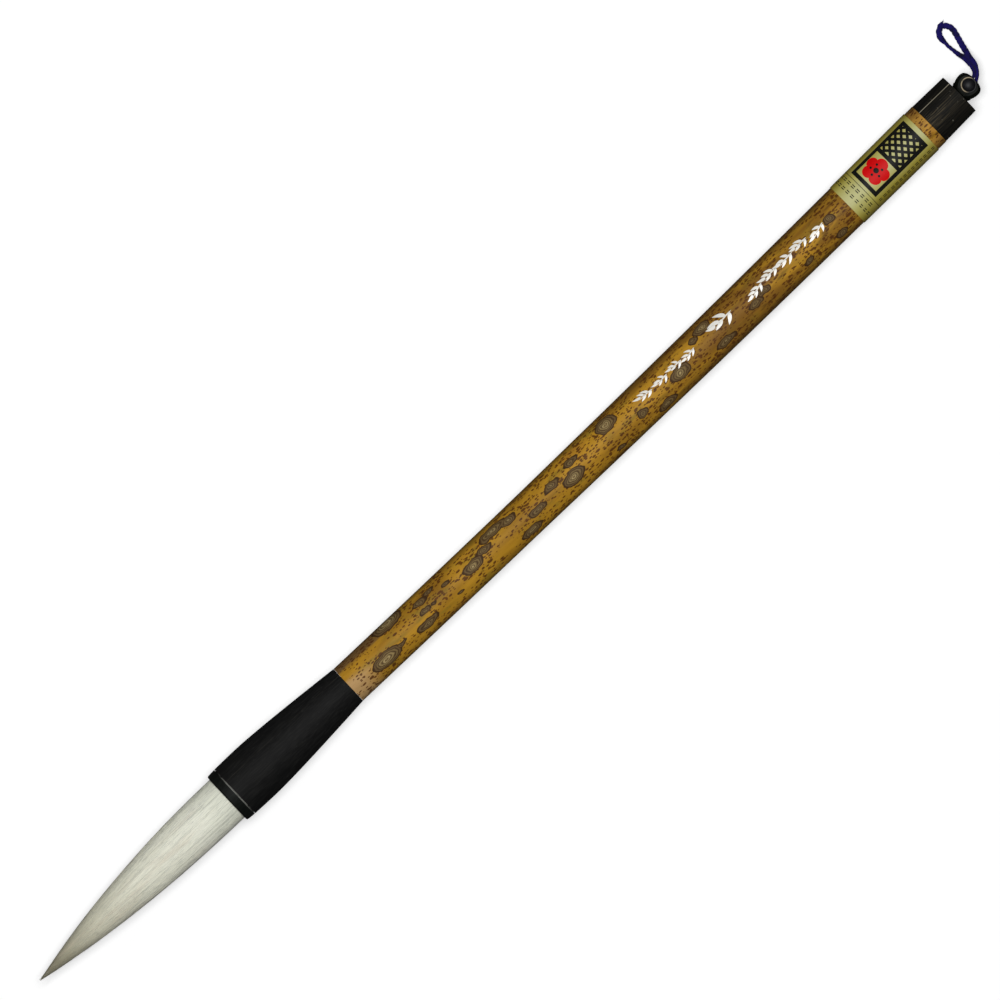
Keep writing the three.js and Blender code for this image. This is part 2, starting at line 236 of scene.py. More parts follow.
def tidy_mesh(mesh, sharp_angle):
    body = bmesh.new()
    body.from_mesh(mesh)
    bmesh.ops.remove_doubles(body, verts=body.verts, dist=1e-3 * MM)
    bmesh.ops.recalc_face_normals(body, faces=body.faces)
    body.to_mesh(mesh)
    body.free()
    mesh.shade_smooth()
    mesh.set_sharp_from_angle(angle=math.radians(sharp_angle))


def grid_faces(rows, columns, wrap_columns=True):
    """The four-sided faces of a grid of points, row by row."""
    faces = []
    for i in range(rows - 1):
        for j in range(columns if wrap_columns else columns - 1):
            a, b = i * columns, (i + 1) * columns
            k = (j + 1) % columns
            faces.append((a + j, a + k, b + k, b + j))
    return faces


def curve_points(start, control, end, count):
    """Points of a quadratic curve, both ends included."""
    t = np.linspace(0, 1, count + 1)[:, None]
    start, control, end = (np.array(p, float) for p in (start, control, end))
    return (1 - t) ** 2 * start + 2 * t * (1 - t) * control + t ** 2 * end


def rounded(corners, closed=False):
    """An outline of (x, radius, fillet) corners, with each fillet drawn as a short curve."""
    outline = []
    for i, (x, radius, fillet) in enumerate(corners):
        if not fillet:
            outline.append((x, radius))
            continue
        here = np.array((x, radius))
        before = np.array(corners[i - 1][:2]) - here
        after = np.array(corners[(i + 1) % len(corners)][:2]) - here
        start = here + before / np.linalg.norm(before) * fillet
        end = here + after / np.linalg.norm(after) * fillet
        outline += curve_points(start, here, end, 5).tolist()
    if closed:
        outline.append(outline[0])
    return outline


def turned_points(outline, sides):
    outline = np.asarray(outline, float)
    angle = np.arange(sides) / sides * TURN
    x = np.repeat(outline[:, :1], sides, axis=1)
    y = outline[:, 1:] * np.sin(angle)
    z = outline[:, 1:] * np.cos(angle)
    return np.stack([x, y, z], axis=2).reshape(-1, 3)


def turned(name, outline, place, materials, sides=SIDES):
    """A piece turned about its frame's x axis, from an outline of (x, radius) points."""
    faces = grid_faces(len(outline), sides)
    return make_piece(name, turned_points(outline, sides), faces, place, materials)


def join_parts(parts):
    """Points and faces of several meshes as one."""
    points, faces, count = [], [], 0
    for part_points, part_faces in parts:
        points.append(part_points)
        faces += [tuple(corner + count for corner in face) for face in part_faces]
        count += len(part_points)
    return np.concatenate(points), faces


def outer_outline(node, place):
    """The outside of a turned CAD node, front to back, as (x, radius) points."""
    points = vertices_of(node, place)
    radius = np.hypot(points[:, 1], points[:, 2])
    order = np.argsort(points[:, 0])
    stations = np.split(order, np.flatnonzero(np.diff(points[order, 0]) > 0.03) + 1)
    outline = [(points[station, 0].mean(), radius[station].max()) for station in stations]
    hidden = True
    while hidden:
        hidden = [
            i for i in range(1, len(outline) - 1)
            if outline[i][1] < np.interp(
                outline[i][0], (outline[i - 1][0], outline[i + 1][0]),
                (outline[i - 1][1], outline[i + 1][1])) - 0.25
        ]
        for i in hidden[:1]:
            outline.pop(i)
    return outline


def smooth_outline(outline, step):
    """The same outline through its points on a smooth curve, with closer points."""
    x, radius = np.array(outline).T
    slope = np.gradient(radius, x)
    fine = []
    for i in range(len(x) - 1):
        span = x[i + 1] - x[i]
        count = max(1, round(span / step))
        t = np.arange(count) / count
        h = radius[i] * (2 * t ** 3 - 3 * t ** 2 + 1) + radius[i + 1] * (3 * t ** 2 - 2 * t ** 3)
        h += span * (slope[i] * (t ** 3 - 2 * t ** 2 + t) + slope[i + 1] * (t ** 3 - t ** 2))
        fine += list(zip(x[i] + span * t, h))
    return fine + [(x[-1], radius[-1])]


def inner_radius(node, place, x):
    """The smallest radius of a hollow CAD node's corners near that place along the brush."""
    points = vertices_of(node, place)
    near = points[abs(points[:, 0] - x) < 0.3]
    return np.hypot(near[:, 1], near[:, 2]).min()


# ------------------------------------------------------------------ materials
def rgb(red, green, blue):
    """A display colour from 0 to 255 as the linear colour that shaders take."""
    channels = [c / 255 for c in (red, green, blue)]
    linear = [c / 12.92 if c <= 0.04045 else ((c + 0.055) / 1.055) ** 2.4 for c in channels]
    return (*linear, 1)


class Look:
    """A procedural material, with a short call for each kind of node."""

    def __init__(self, name, **sockets):
        self.material = bpy.data.materials.new(name)
        self.material.use_nodes = True
        self.tree = self.material.node_tree
        self.shader = self.tree.nodes["Principled BSDF"]
        for socket, value in sockets.items():
            self.shader.inputs[socket.replace("_", " ")].default_value = value
        self.own = self.node("ShaderNodeAttribute", attribute_name="brush").outputs["Vector"]

    def feed(self, socket, value):
        if isinstance(value, bpy.types.NodeSocket):
            self.tree.links.new(value, socket)
        else:
            socket.default_value = value

    def node(self, kind, values=(), **settings):
        made = self.tree.nodes.new(kind)
        for name, value in settings.items():
            setattr(made, name, value)
        for key, value in dict(values).items():
            self.feed(made.inputs[key], value)
        return made

    def math(self, operation, *terms):
        values = dict(enumerate(terms))
        return self.node("ShaderNodeMath", values, operation=operation).outputs[0]

    def plus(self, first, second):
        return self.math("ADD", first, second)

    def minus(self, first, second):
        return self.math("SUBTRACT", first, second)

    def times(self, first, second, added=None):
        """The product of two values, with a third one added to it if there is one."""
        if added is None:
            return self.math("MULTIPLY", first, second)
        return self.math("MULTIPLY_ADD", first, second, added)

    def vector(self, operation, *terms):
        made = self.node("ShaderNodeVectorMath", dict(enumerate(terms)), operation=operation)
        return made.outputs["Value" if operation in ("LENGTH", "DOT_PRODUCT") else "Vector"]

    def split(self, vector):
        return self.node("ShaderNodeSeparateXYZ", {0: vector}).outputs

    def join(self, x, y, z=0.0):
        return self.node("ShaderNodeCombineXYZ", {0: x, 1: y, 2: z}).outputs[0]

    def noise(self, vector, scale, detail, roughness=0.5, distortion=0.0):
        values = {"Vector": vector, "Scale": scale, "Detail": detail, "Roughness": roughness,
                  "Distortion": distortion}
        return self.node("ShaderNodeTexNoise", values).outputs[0]

    def fibres(self, along, across, scale, *settings):
        """Noise on the piece's own place, which along and across stretch by different amounts."""
        return self.noise(self.scaled(self.own, along, across, across), scale, *settings)

    def cells(self, vector, scale):
        """Distance to the nearest cell's middle, and a number that differs from cell to cell."""
        made = self.node("ShaderNodeTexVoronoi", {"Vector": vector, "Scale": scale})
        return made.outputs["Distance"], self.split(made.outputs["Color"])[0]

    def ease(self, value, low, high):
        """0 below low and 1 above high, or the other way round where high is the smaller."""
        values = {0: value, 1: low, 2: high}
        made = self.node("ShaderNodeMapRange", values, interpolation_type="SMOOTHSTEP")
        return made.outputs[0]

    def mix(self, share, first, second):
        values = {0: share, 6: first, 7: second}
        return self.node("ShaderNodeMix", values, data_type="RGBA").outputs[2]

    def tinted(self, colour, where, strength, tint):
        """The colour with a tint laid over it where the value is 1, at most that strong."""
        return self.mix(self.times(where, strength), colour, tint)

    def ramp(self, value, *stops):
        made = self.node("ShaderNodeValToRGB", {0: value})
        elements = made.color_ramp.elements
        while len(elements) < len(stops):
            elements.new(1)
        for element, (position, colour) in zip(elements, stops):
            element.position = position
            element.color = colour
        return made.outputs[0]

    def between(self, value, low, high, soft):
        """1 where the value lies between low and high, with soft edges."""
        return self.times(self.ease(value, low - soft, low + soft),
                          self.ease(value, high + soft, high - soft))

    def finish(self, colour, roughness, height, depth):
        """Sets colour and roughness, and bump from a height of 0 to 1 that is depth mm deep."""
        self.feed(self.shader.inputs["Base Color"], colour)
        self.feed(self.shader.inputs["Roughness"], roughness)
        values = {"Height": height, "Distance": depth * MM, "Strength": 1.0}
        bump = self.node("ShaderNodeBump", values)
        self.feed(self.shader.inputs["Normal"], bump.outputs[0])
        return self.material

    def scaled(self, vector, x, y, z):
        return self.vector("MULTIPLY", vector, (x, y, z))

    def range(self, value, low, high):
        """The value from 0 to 1 as one from low to high."""
        return self.times(value, high - low, low)


def cad_look(name, first, second, grain, roughness):
    """A plain grained material for the CAD nodes that sit inside the brush."""
    look = Look(name)
    place = look.node("ShaderNodeTexCoord").outputs["Object"]
    value = look.noise(look.scaled(place, *grain), 1000, 4)
    colour = look.ramp(value, (0.3, first), (0.7, second))
    return look.finish(colour, look.range(value, roughness, roughness + 0.15), value, 0.05)


# ------------------------------------------------------------------ hanging loop
# The loop's route, from its knot to the pin, round it, and back: along the brush from the cap's
# face, across to the loop's side, and lift, where 1 is the height of the pin and 0 the table.
CORD_ROUTE = [
    (8.05, 14.3, 0), (7.3, 13.94, 0), (6.6, 13.2, 0), (6.27, 12.21, 0), (6.25, 11.0, 0),
    (6.21, 9.78, 0), (6.37, 8.3, 0.06), (6.58, 6.68, 0.2), (6.88, 5.15, 0.43), (6.7, 2.66, 0.8),
    (5.83, 0.9, 0.985), (4.9, 0.55, 1), (3.95, 1.15, 1), (3.0, 1.45, 1), (1.97, 1.03, 1),
    (1.55, 0, 1), (1.97, -1.03, 1), (3.0, -1.45, 1), (4.0, -1.22, 1), (5.1, -0.5, 1),
    (6.34, 0.36, 0.985), (7.44, 1.98, 0.84), (7.86, 4.25, 0.55), (8.12, 5.5, 0.35),
    (8.42, 6.67, 0.2), (8.76, 8.02, 0.08), (9.14, 9.34, 0.01), (9.48, 10.6, 0), (9.72, 11.77, 0),
    (9.62, 12.76, 0), (9.2, 13.55, 0), (8.6, 14.15, 0),
]
CORD_WIDTH = 1.5
CORD_THICKNESS = 0.85
CORD_LYING_HEIGHT = 0.8
FLAT_SETTLE = 0.33  # how much lower the cord's middle is where it lies on its flat side
PLAIT = 1.15  # length of one crossing of the weave
KNOT_TUBE = 0.32
FRAY_COUNT = 26
FRAY_RADIUS = 0.055
LOOP_ALONG = Vector((tail_along.x, tail_along.y, 0)).normalized()
loop_place = Place((cap_face.x, cap_face.y, 0), LOOP_ALONG, Vector((0, 0, 1)))
PIN_HEIGHT = joints["loop_swing"]["pos_m"][2] / MM


def centripetal(points, steps):
    """A centripetal Catmull-Rom curve through the points."""
    points = np.array(points, float)
    points = np.vstack([2 * points[0] - points[1], points, 2 * points[-1] - points[-2]])
    curve = []
    for i in range(1, len(points) - 2):
        p = points[i - 1:i + 3]
        gaps = np.sqrt(np.linalg.norm(np.diff(p, axis=0), axis=1))
        knots = np.concatenate([[0], np.cumsum(gaps)])
        t = np.linspace(knots[1], knots[2], steps, endpoint=False)[:, None]

        def blended(first, second, low, high):
            return ((high - t) * first + (t - low) * second) / (high - low)

        rows = [blended(p[j], p[j + 1], knots[j], knots[j + 1]) for j in range(3)]
        rows = [blended(rows[j], rows[j + 1], knots[j], knots[j + 2]) for j in range(2)]
        curve.append(blended(*rows, knots[1], knots[2]))
    return np.vstack([*curve, points[-2:-1]])


def evenly(points, step):
    """The same line with points about step apart."""
    along = np.concatenate([[0], np.cumsum(np.linalg.norm(np.diff(points, axis=0), axis=1))])
    at = np.linspace(0, along[-1], round(along[-1] / step) + 1)
    return np.stack([np.interp(at, along, column) for column in points.T], axis=1), at


def eased(value, low, high):
    share = np.clip((value - low) / (high - low), 0, 1)
    return share * share * (3 - 2 * share)


def cord_look():
    look = Look("woven_navy_cord", Specular_IOR_Level=0.15, Sheen_Weight=0.04)
    fine = look.noise(look.own, 7, 3)
    worn = look.noise(look.own, 0.6, 2)
    colour = look.mix(fine, rgb(12, 6, 62), rgb(28, 18, 112))
    colour = look.mix(look.ease(worn, 0.45, 0.75), colour, rgb(11, 8, 46))
    return look.finish(colour, look.range(fine, 0.7, 0.95), fine, 0.05)


def cord_line():
    """The cord's centreline, how far it is turned flat, and the length up to each point."""
    route = [(a, b, CORD_LYING_HEIGHT + (PIN_HEIGHT - CORD_LYING_HEIGHT) * lift)
             for a, b, lift in CORD_ROUTE]
    line, along = evenly(centripetal(route, 12), 0.11)
    height = (line[:, 2] - CORD_LYING_HEIGHT) / (PIN_HEIGHT - CORD_LYING_HEIGHT)
    # the first strand lies flat beside the knot, on its edge further on, and half flat at the knob
    first = np.interp(along, (2.4, 4.4, 6.6, 9.5), (0.95, 0.15, 0.15, 0.5))
    second = 0.5 + 0.5 * eased(height, 0.5, 0.1)
    flat = eased(height, 0.99, 0.7) * np.where(along > along[-1] / 2, second, first)
    line[:, 2] -= FLAT_SETTLE * flat * eased(height, 0.6, 0)
    return line, flat, along


def sweep(line, widths, up_share, half_width, half_thickness, sides, relief=None):
    """A closed sweep of a flat oval along a line. Its wide side is upright where up_share is 0,
    and lies flat where it is 1."""
    tangent = np.gradient(line, axis=0)
    tangent /= np.linalg.norm(tangent, axis=1)[:, None]
    vertical = np.array([0, 0, 1.0]) - tangent[:, 2:] * tangent
    vertical /= np.linalg.norm(vertical, axis=1)[:, None]
    across = np.cross(tangent, vertical)
    turn = (up_share * math.pi / 2)[:, None]
    wide = np.cos(turn) * vertical + np.sin(turn) * across
    thin = np.cross(tangent, wide)
    angle = np.arange(sides) / sides * TURN
    swell = widths[:, None] * (1 if relief is None else relief)
    square = 0.75  # under 1, the oval is closer to a rounded rectangle
    c = np.sign(np.cos(angle)) * abs(np.cos(angle)) ** square
    s = np.sign(np.sin(angle)) * abs(np.sin(angle)) ** square
    points = (line[:, None] + half_width * (swell * c)[..., None] * wide[:, None]
              + half_thickness * (swell * s)[..., None] * thin[:, None])
    faces = grid_faces(len(line), sides)
    faces += [tuple(range(sides))[::-1], tuple(range((len(line) - 1) * sides, len(line) * sides))]
    return points.reshape(-1, 3), faces


def hanging_loop(look):
    line, flat, along = cord_line()
    sides = 32
    angle = np.arange(sides) / sides * TURN
    phase = (along / PLAIT * TURN)[:, None]
    weave = np.maximum(np.cos(phase + 3 * angle), np.cos(phase - 3 * angle))
    ends = np.minimum(eased(along, -0.5, 0.4), eased(along, along[-1] + 0.5, along[-1] - 0.4))
    points, faces = sweep(line, 0.93 * ends, flat, CORD_WIDTH / 2, CORD_THICKNESS / 2, sides,
                          1 + 0.09 * weave)
    return make_piece("hanging_cord", points, faces, loop_place, [look]), line, along[-1]


def loop_knot(look, line):
    """The two ends of the cord tied in one tight knot, with frayed ends."""
    middle = (line[0] + line[-1]) / 2 + (0.05, 0.2, 0.1)
    t = np.linspace(0, TURN, 121)[:-1]
    trefoil = np.stack([np.sin(t) + 2 * np.sin(2 * t), np.cos(t) - 2 * np.cos(2 * t),
                        -np.sin(3 * t)], axis=1) * (0.2, 0.19, 0.22)
    sides = 14
    closed = np.vstack([trefoil, trefoil[:1]]) + middle
    angle = np.arange(sides) / sides * TURN
    phase = (np.arange(len(closed)) * 0.45)[:, None]
    relief = 1 + 0.1 * np.cos(phase + 2 * angle)
    parts = [sweep(closed, np.ones(len(closed)), np.zeros(len(closed)), KNOT_TUBE, KNOT_TUBE,
                   sides, relief)]
    draw = np.random.default_rng(5)
    for _ in range(FRAY_COUNT):
        foot = (draw.uniform(0.0, 0.5), draw.uniform(0.2, 0.55), draw.uniform(-0.25, 0.25))
        root = middle + foot
        reach = (draw.uniform(0.3, 1.25), draw.uniform(-0.25, 0.15), draw.uniform(-0.4, 0.1))
        sag = (draw.uniform(-0.1, 0.1), draw.uniform(-0.1, 0.1), 0.1)
        fibre = curve_points(root, root + np.array(reach) / 2 + sag, root + np.array(reach), 6)
        taper = np.linspace(1, 0.35, 7)
        parts.append(sweep(fibre, taper, np.zeros(7), FRAY_RADIUS, FRAY_RADIUS, 5))
    return make_piece("cord_knot", *join_parts(parts), loop_place, [look])


def make_loop():
    look = cord_look()
    cord, line, length = hanging_loop(look)
    knot = loop_knot(look, line)
    for piece, node in ((cord, "hanging_loop"), (knot, "loop_knot")):
        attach(piece, "loop")
        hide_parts(node)
    path = loop_place.world(line)


make_loop()


# ------------------------------------------------------------------ hair
HAIR_START = 0.4  # behind the mouth, inside the ring
HAIR_SPLIT = 23.0  # out of the mouth, where the tuft's two meshes meet
HAIR_FULLNESS = 2.2  # a higher power keeps the tuft thick for longer
TIP_RADIUS = 0.1
TIP_LEAN = 1.05  # of the tip to the side
RIDGE_DEPTH = 0.085
WAIST_END = 16.0
THROAT = (30.0, 38.0)
STRAND_COUNT = 620
STRAND_RADIUS = 0.042
STRAND_FLATNESS = 0.35
TUFT_COLUMNS = 420
HAIR_LENGTH = MOUTH - ends_of("tip_hair", head)[0]
HAIR_RADIUS = np.hypot(*vertices_of("cover_hair_waist", head)[:, 1:].T).max()


def hair_radius(out):
    share = np.clip(out / HAIR_LENGTH, 0, 1)
    return TIP_RADIUS + (HAIR_RADIUS - TIP_RADIUS) * (1 - share ** HAIR_FULLNESS)


def hair_ridges(draw):
    """A height over angle and distance that runs in strands, which drift a little and merge."""
    count = 70
    waves = draw.integers(9, 130, count)
    phases = draw.uniform(0, TURN, count)
    drifts = draw.normal(0, 0.035, count)
    bends = draw.normal(0, 0.0006, count)
    heights = draw.uniform(0.3, 1, count) / np.sqrt(count) * (60 / (waves + 40))

    def height(angle, out):
        angle, out = np.broadcast_arrays(angle, out)
        total = np.zeros(angle.shape)
        for wave, phase, drift, bend, size in zip(waves, phases, drifts, bends, heights):
            total += size * np.cos(wave * angle + phase + drift * out + bend * out * out)
        return total

    return height


def hair_point(angle, out, lift):
    radius = hair_radius(out) + lift
    share = np.clip(out / HAIR_LENGTH, 0, 1)
    return np.stack([MOUTH - out, radius * np.sin(angle) - TIP_LEAN * share ** 1.6,
                     radius * np.cos(angle)], axis=-1)


def tuft_body(out, ridges):
    """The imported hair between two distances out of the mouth, closed at both ends."""
    angle = np.arange(TUFT_COLUMNS) / TUFT_COLUMNS * TURN
    rows = out[:, None]
    depth = RIDGE_DEPTH * eased(rows, -0.5, 4) * (0.25 + 0.75 * hair_radius(rows) / HAIR_RADIUS)
    lift = depth * (ridges(angle[None], rows) - 0.35)
    angles = np.broadcast_to(angle, lift.shape)
    points = hair_point(angles, np.broadcast_to(rows, lift.shape), lift)
    faces = grid_faces(len(out), TUFT_COLUMNS)
    points = points.reshape(-1, 3)
    for ring, recess in ((0, -1), (len(out) - 1, 1)):
        first = ring * TUFT_COLUMNS
        last = len(points)
        centre = points[first:first + TUFT_COLUMNS].mean(axis=0)
        is_tip = out[ring] > HAIR_LENGTH - 0.01
        centre[0] += -0.2 if is_tip else 0.6 * recess
        points = np.vstack([points, centre])
        faces += [(last, first + j, first + (j + 1) % TUFT_COLUMNS) for j in range(TUFT_COLUMNS)]
    return points, faces


def strand_tube(angle, out, lift, size):
    """One hair: a fine, rather flat four-sided tube along the tuft."""
    middle = hair_point(angle, out, lift)
    radial = STRAND_FLATNESS * np.stack([0 * angle, np.sin(angle), np.cos(angle)], axis=-1)
    side = np.stack([0 * angle, np.cos(angle), -np.sin(angle)], axis=-1)
    corners = [middle + size[:, None] * d for d in (radial, side, -radial, -side)]
    points = np.stack(corners, axis=1).reshape(-1, 3)
    faces = grid_faces(len(out), 4) + [(3, 2, 1, 0), tuple(range(len(points) - 4, len(points)))]
    return points, faces


def strand_parts(draw):
    """The separate hairs, each cut where the two meshes meet."""
    near, far = [], []
    for _ in range(STRAND_COUNT):
        start = draw.choice([-HAIR_START / 2, draw.uniform(1, 40)])
        end = min(start + draw.uniform(14, 62), HAIR_LENGTH + draw.uniform(-9, 0.6))
        angle = draw.uniform(0, TURN)
        drift = draw.normal(0, 0.05)
        wander = draw.normal(0, 0.012)
        stray = draw.choice([0.0, 0.0, 0.0, draw.uniform(0.05, 0.22)])
        length = end - start
        if length < 4:
            continue
        halves = ((near, start, min(end, HAIR_SPLIT)), (far, max(start, HAIR_SPLIT), end))
        for side, low, high in halves:
            if high - low < 0.5:
                continue
            out = np.linspace(low, high, max(4, round((high - low) / 2.2)))
            share = (out - start) / length
            turned_by = angle + drift * share + wander * np.sin(3 * share * math.pi)
            lift = STRAND_RADIUS * 0.3 + 0.02 * np.sin(2 * math.pi * share) + stray * share ** 5
            size = STRAND_RADIUS * (1 - 0.75 * share ** 3)
            side.append(strand_tube(turned_by, out, lift, size))
    return near, far


def hair_look():
    look = Look("tuft_hair", Sheen_Weight=0.15, Sheen_Roughness=0.5, Specular_IOR_Level=0.35)
    x, y, z = look.split(look.own)
    share = look.math("DIVIDE", look.minus(MOUTH, x), HAIR_LENGTH)
    around = look.vector("NORMALIZE", look.join(0.0, y, z))

    def strands(along, across):
        """A place that changes fast round the tuft and slowly along it."""
        return look.vector("ADD", look.scaled(around, 0, across, across),
                           look.scaled(look.own, along, 0, 0))

    fine = look.noise(strands(0.02, 6), 17, 2)
    broad = look.noise(strands(0.02, 6), 2.6, 3)
    patch = look.noise(strands(0.05, 2), 1.2, 3)
    tone = look.ramp(
        share, (0.0, rgb(232, 234, 218)), (0.15, rgb(244, 244, 229)), (0.45, rgb(240, 239, 221)),
        (0.7, rgb(212, 209, 187)), (0.84, rgb(172, 167, 142)), (0.94, rgb(126, 118, 92)),
        (1.0, rgb(84, 76, 54)))
    tone = look.tinted(tone, look.ease(patch, 0.5, 0.72), 0.35, rgb(214, 200, 178))
    tone = look.tinted(tone, look.ease(broad, 0.5, 0.7), 0.4, rgb(176, 178, 160))
    tone = look.tinted(tone, look.ease(fine, 0.54, 0.66), 0.5, rgb(142, 150, 140))
    tone = look.tinted(tone, look.ease(fine, 0.42, 0.3), 0.5, rgb(240, 240, 226))
    return look.finish(tone, look.range(fine, 0.45, 0.7), fine, 0.06)


def make_tuft():
    draw = np.random.default_rng(11)
    ridges = hair_ridges(draw)
    look = hair_look()
    near_strands, far_strands = strand_parts(draw)
    waist_rows = np.linspace(-HAIR_START, HAIR_SPLIT, 48)
    share = np.linspace(0, 1, 96)
    point_rows = HAIR_SPLIT + (HAIR_LENGTH - HAIR_SPLIT) * (1 - (1 - share) ** 1.25)
    pieces = (
        ("tuft_waist", waist_rows, near_strands, "handle", "tuft_belly", (0, WAIST_END),
         ("cover_hair_waist", "core_hair_waist", "cover_hair_belly", "core_hair_belly")),
        ("tuft_point", point_rows, far_strands, "tuft_belly", "tuft_tip", THROAT,
         ("throat_hair", "tip_hair")),
    )
    for name, rows, strands, inner, outer, bend, nodes in pieces:
        points, faces = join_parts([tuft_body(rows, ridges), *strands])
        piece = make_piece(name, points, faces, head, [look], sharp_angle=60)
        start, end = (head.world([MOUTH - out, 0, 0]).tolist() for out in bend)
        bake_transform(piece)
        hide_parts(*nodes)


make_tuft()


# ------------------------------------------------------------------ ferrule and mouth ring
def horn_look(name, tint, haze, haze_share, roughness, gloss, paint=None):
    """Dark turned horn: faint lengthwise fibre, a greyer haze, scuffs, and what paint adds."""
    look = Look(name, Specular_IOR_Level=gloss)
    fibre = look.fibres(0.16, 2.4, 1.6, 4)
    cloud = look.fibres(0.1, 0.3, 1, 3)
    scuff = look.fibres(0.5, 2.8, 1.3, 3, 0.6, 0.6)
    colour = look.mix(look.ease(fibre, 0.35, 0.75), tint, haze)
    colour = look.tinted(colour, look.ease(cloud, 0.62, 0.4), 1 - haze_share, tint)
    colour = look.tinted(colour, look.ease(scuff, 0.67, 0.75), 0.4, rgb(72, 72, 70))
    if paint:
        colour = paint(look, colour, fibre)
    rough = look.plus(look.range(fibre, roughness - 0.06, roughness + 0.1), look.times(scuff, 0.1))
    return look.finish(colour, rough, fibre, 0.02)


def edge_highlight(look, start, end, patches, faded_at):
    """A pale line along an edge, a painted highlight, which comes and goes, and fades on the side of the loop."""
    x, y, _ = look.split(look.own)
    edge = look.times(look.ease(x, start, end), patches)
    return look.times(edge, look.ease(y, faded_at, faded_at - 2))


def ferrule_paint(seam):
    """The ferrule's pale painted edge highlight beside its seam with the ring, and one faint long painted
    reflection.
    """
    def paint(look, colour, fibre):
        patches = look.ease(look.noise(look.own, 0.35, 2), 0.3, 0.5)
        # painted highlight: a pale line beside the seam with the ring
        edge = edge_highlight(look, seam + 0.16, seam + 0.06, patches, 6.2)
        colour = look.mix(edge, colour, rgb(128, 128, 122))
        y = look.split(look.own)[1]
        # painted reflection: one faint long light line along the ferrule
        reflection_line = look.times(look.between(y, 3.05, 3.12, 0.04), look.ease(fibre, 0.3, 0.6))
        return look.tinted(colour, reflection_line, 0.22, rgb(92, 88, 78))
    return paint


def make_ferrule():
    outline = outer_outline("ferrule_body", head)
    front = outline[0][0]
    bore = inner_radius("mouth_ring", head, MOUTH)
    counterbore = inner_radius("ferrule_body", head, front)
    dowel = inner_radius("ferrule_body", head, outline[-1][0])
    socket = ends_of("root_seal", head)[1] + 0.5
    dowel_floor = ends_of("ferrule_dowel", head)[0] - 0.1
    spigot_end = ends_of("mouth_ring", head)[1] + 0.1
    outside = smooth_outline(outline, 0.5)
    inside = [(outline[-1][0], dowel), (dowel_floor, dowel), (dowel_floor, 0), (socket, 0),
              (socket, bore), (spigot_end, bore), (spigot_end, counterbore), (front, counterbore)]
    rim = curve_points((front, outside[0][1] - 0.12), (front, outside[0][1]),
                       (front + 0.14, outside[0][1] + 0.01), 4).tolist()
    closed = [*rim, *outside[1:], *inside, rim[0]]
    look = horn_look("ferrule_horn", rgb(13, 13, 13), rgb(30, 30, 29), 0.8, 0.6, 0.12,
                     ferrule_paint(front))
    ferrule = turned("ferrule", closed, head, [look])
    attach(ferrule, "handle")
    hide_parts("ferrule_body")


def make_mouth_ring():
    outline = outer_outline("mouth_ring", head)
    start, spigot_end = ends_of("mouth_ring", head)
    bore = inner_radius("mouth_ring", head, start)
    seam = ends_of("ferrule_body", head)[0] - 0.1
    back_radius = max(radius for _, radius in outline)
    spigot = [radius for x, radius in outline if x > seam + 0.2][-1]
    front_radius = np.interp(start + 0.4, *np.array(outline).T)
    corners = [
        (start, bore, 0.2), (start, front_radius, 0.42), (seam, back_radius, 0.14),
        (seam, spigot, 0), (spigot_end, spigot, 0.1), (spigot_end, bore, 0),
    ]

    def paint(look, colour, _):
        # painted highlight: a pale line along the ring's edge by the seam
        patches = look.ease(look.noise(look.own, 0.3, 2), 0.35, 0.55)
        edge = edge_highlight(look, seam - 0.14, seam - 0.04, patches, 6.0)
        return look.mix(edge, colour, rgb(140, 140, 134))

    look = horn_look("ring_horn", rgb(12, 14, 12), rgb(26, 31, 28), 0.5, 0.5, 0.1, paint)
    ring = turned("ring", rounded(corners, closed=True), head, [look])
    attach(ring, "handle")
    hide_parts("mouth_ring")


make_ferrule()
make_mouth_ring()


# ------------------------------------------------------------------ bamboo
SHAFT_OUTLINE = smooth_outline(outer_outline("bamboo_shaft", handle), 1.5)
LABEL_START, LABEL_END = (round(x, 1) for x in ends_of("paper_label", handle))
CULM_RADIUS = 5.4  # the middle of the culm, which the pattern's arcs are measured on
DEEPEST_SPOT = 2.0  # from a ring spot's outline to its middle, at most
HIDDEN_SPOTS = 24
# Ring spots of the mottled bamboo: along from the ferrule, across, length and width.
RING_SPOTS = [
    (10.7, -1.9, 9.3, 4.0), (15.6, -1.7, 3.6, 1.5), (16.3, 4.7, 9.4, 3.6), (23.7, -2.5, 7.2, 2.4),
    (25.0, 0.3, 4.0, 2.0), (27.6, 0.3, 2.2, 1.0), (25.2, 2.7, 5.0, 2.1), (28.6, 3.3, 4.2, 1.5),
    (32.5, 1.8, 3.0, 1.5), (34.3, -2.4, 2.4, 1.1), (40.4, 0.2, 6.4, 3.6), (44.9, 1.3, 5.6, 2.4),
    (49.1, 3.2, 8.6, 2.8), (53.7, 2.4, 5.0, 2.6), (56.3, -3.6, 6.3, 2.4), (60.6, -0.8, 5.8, 2.6),
    (66.6, 1.2, 5.4, 2.6), (72.1, -1.1, 7.0, 4.0), (73.5, 2.2, 5.0, 2.1), (85.1, -3.8, 3.0, 1.4),
    (85.7, 2.8, 6.0, 4.0), (93.8, -1.5, 3.4, 2.4), (99.9, -4.0, 6.0, 2.1), (106.8, -0.8, 6.0, 3.6),
    (114.2, 2.5, 3.2, 1.9), (117.7, 3.3, 4.8, 2.8), (119.8, -2.9, 6.3, 2.3), (130.9, -1.4, 5.0, 2.4),
    (134.4, -0.6, 4.0, 2.4), (157.0, 0.6, 4.0, 2.6), (156.7, -3.7, 4.0, 1.8),
    (147.0, -3.0, 3.4, 1.8),
]


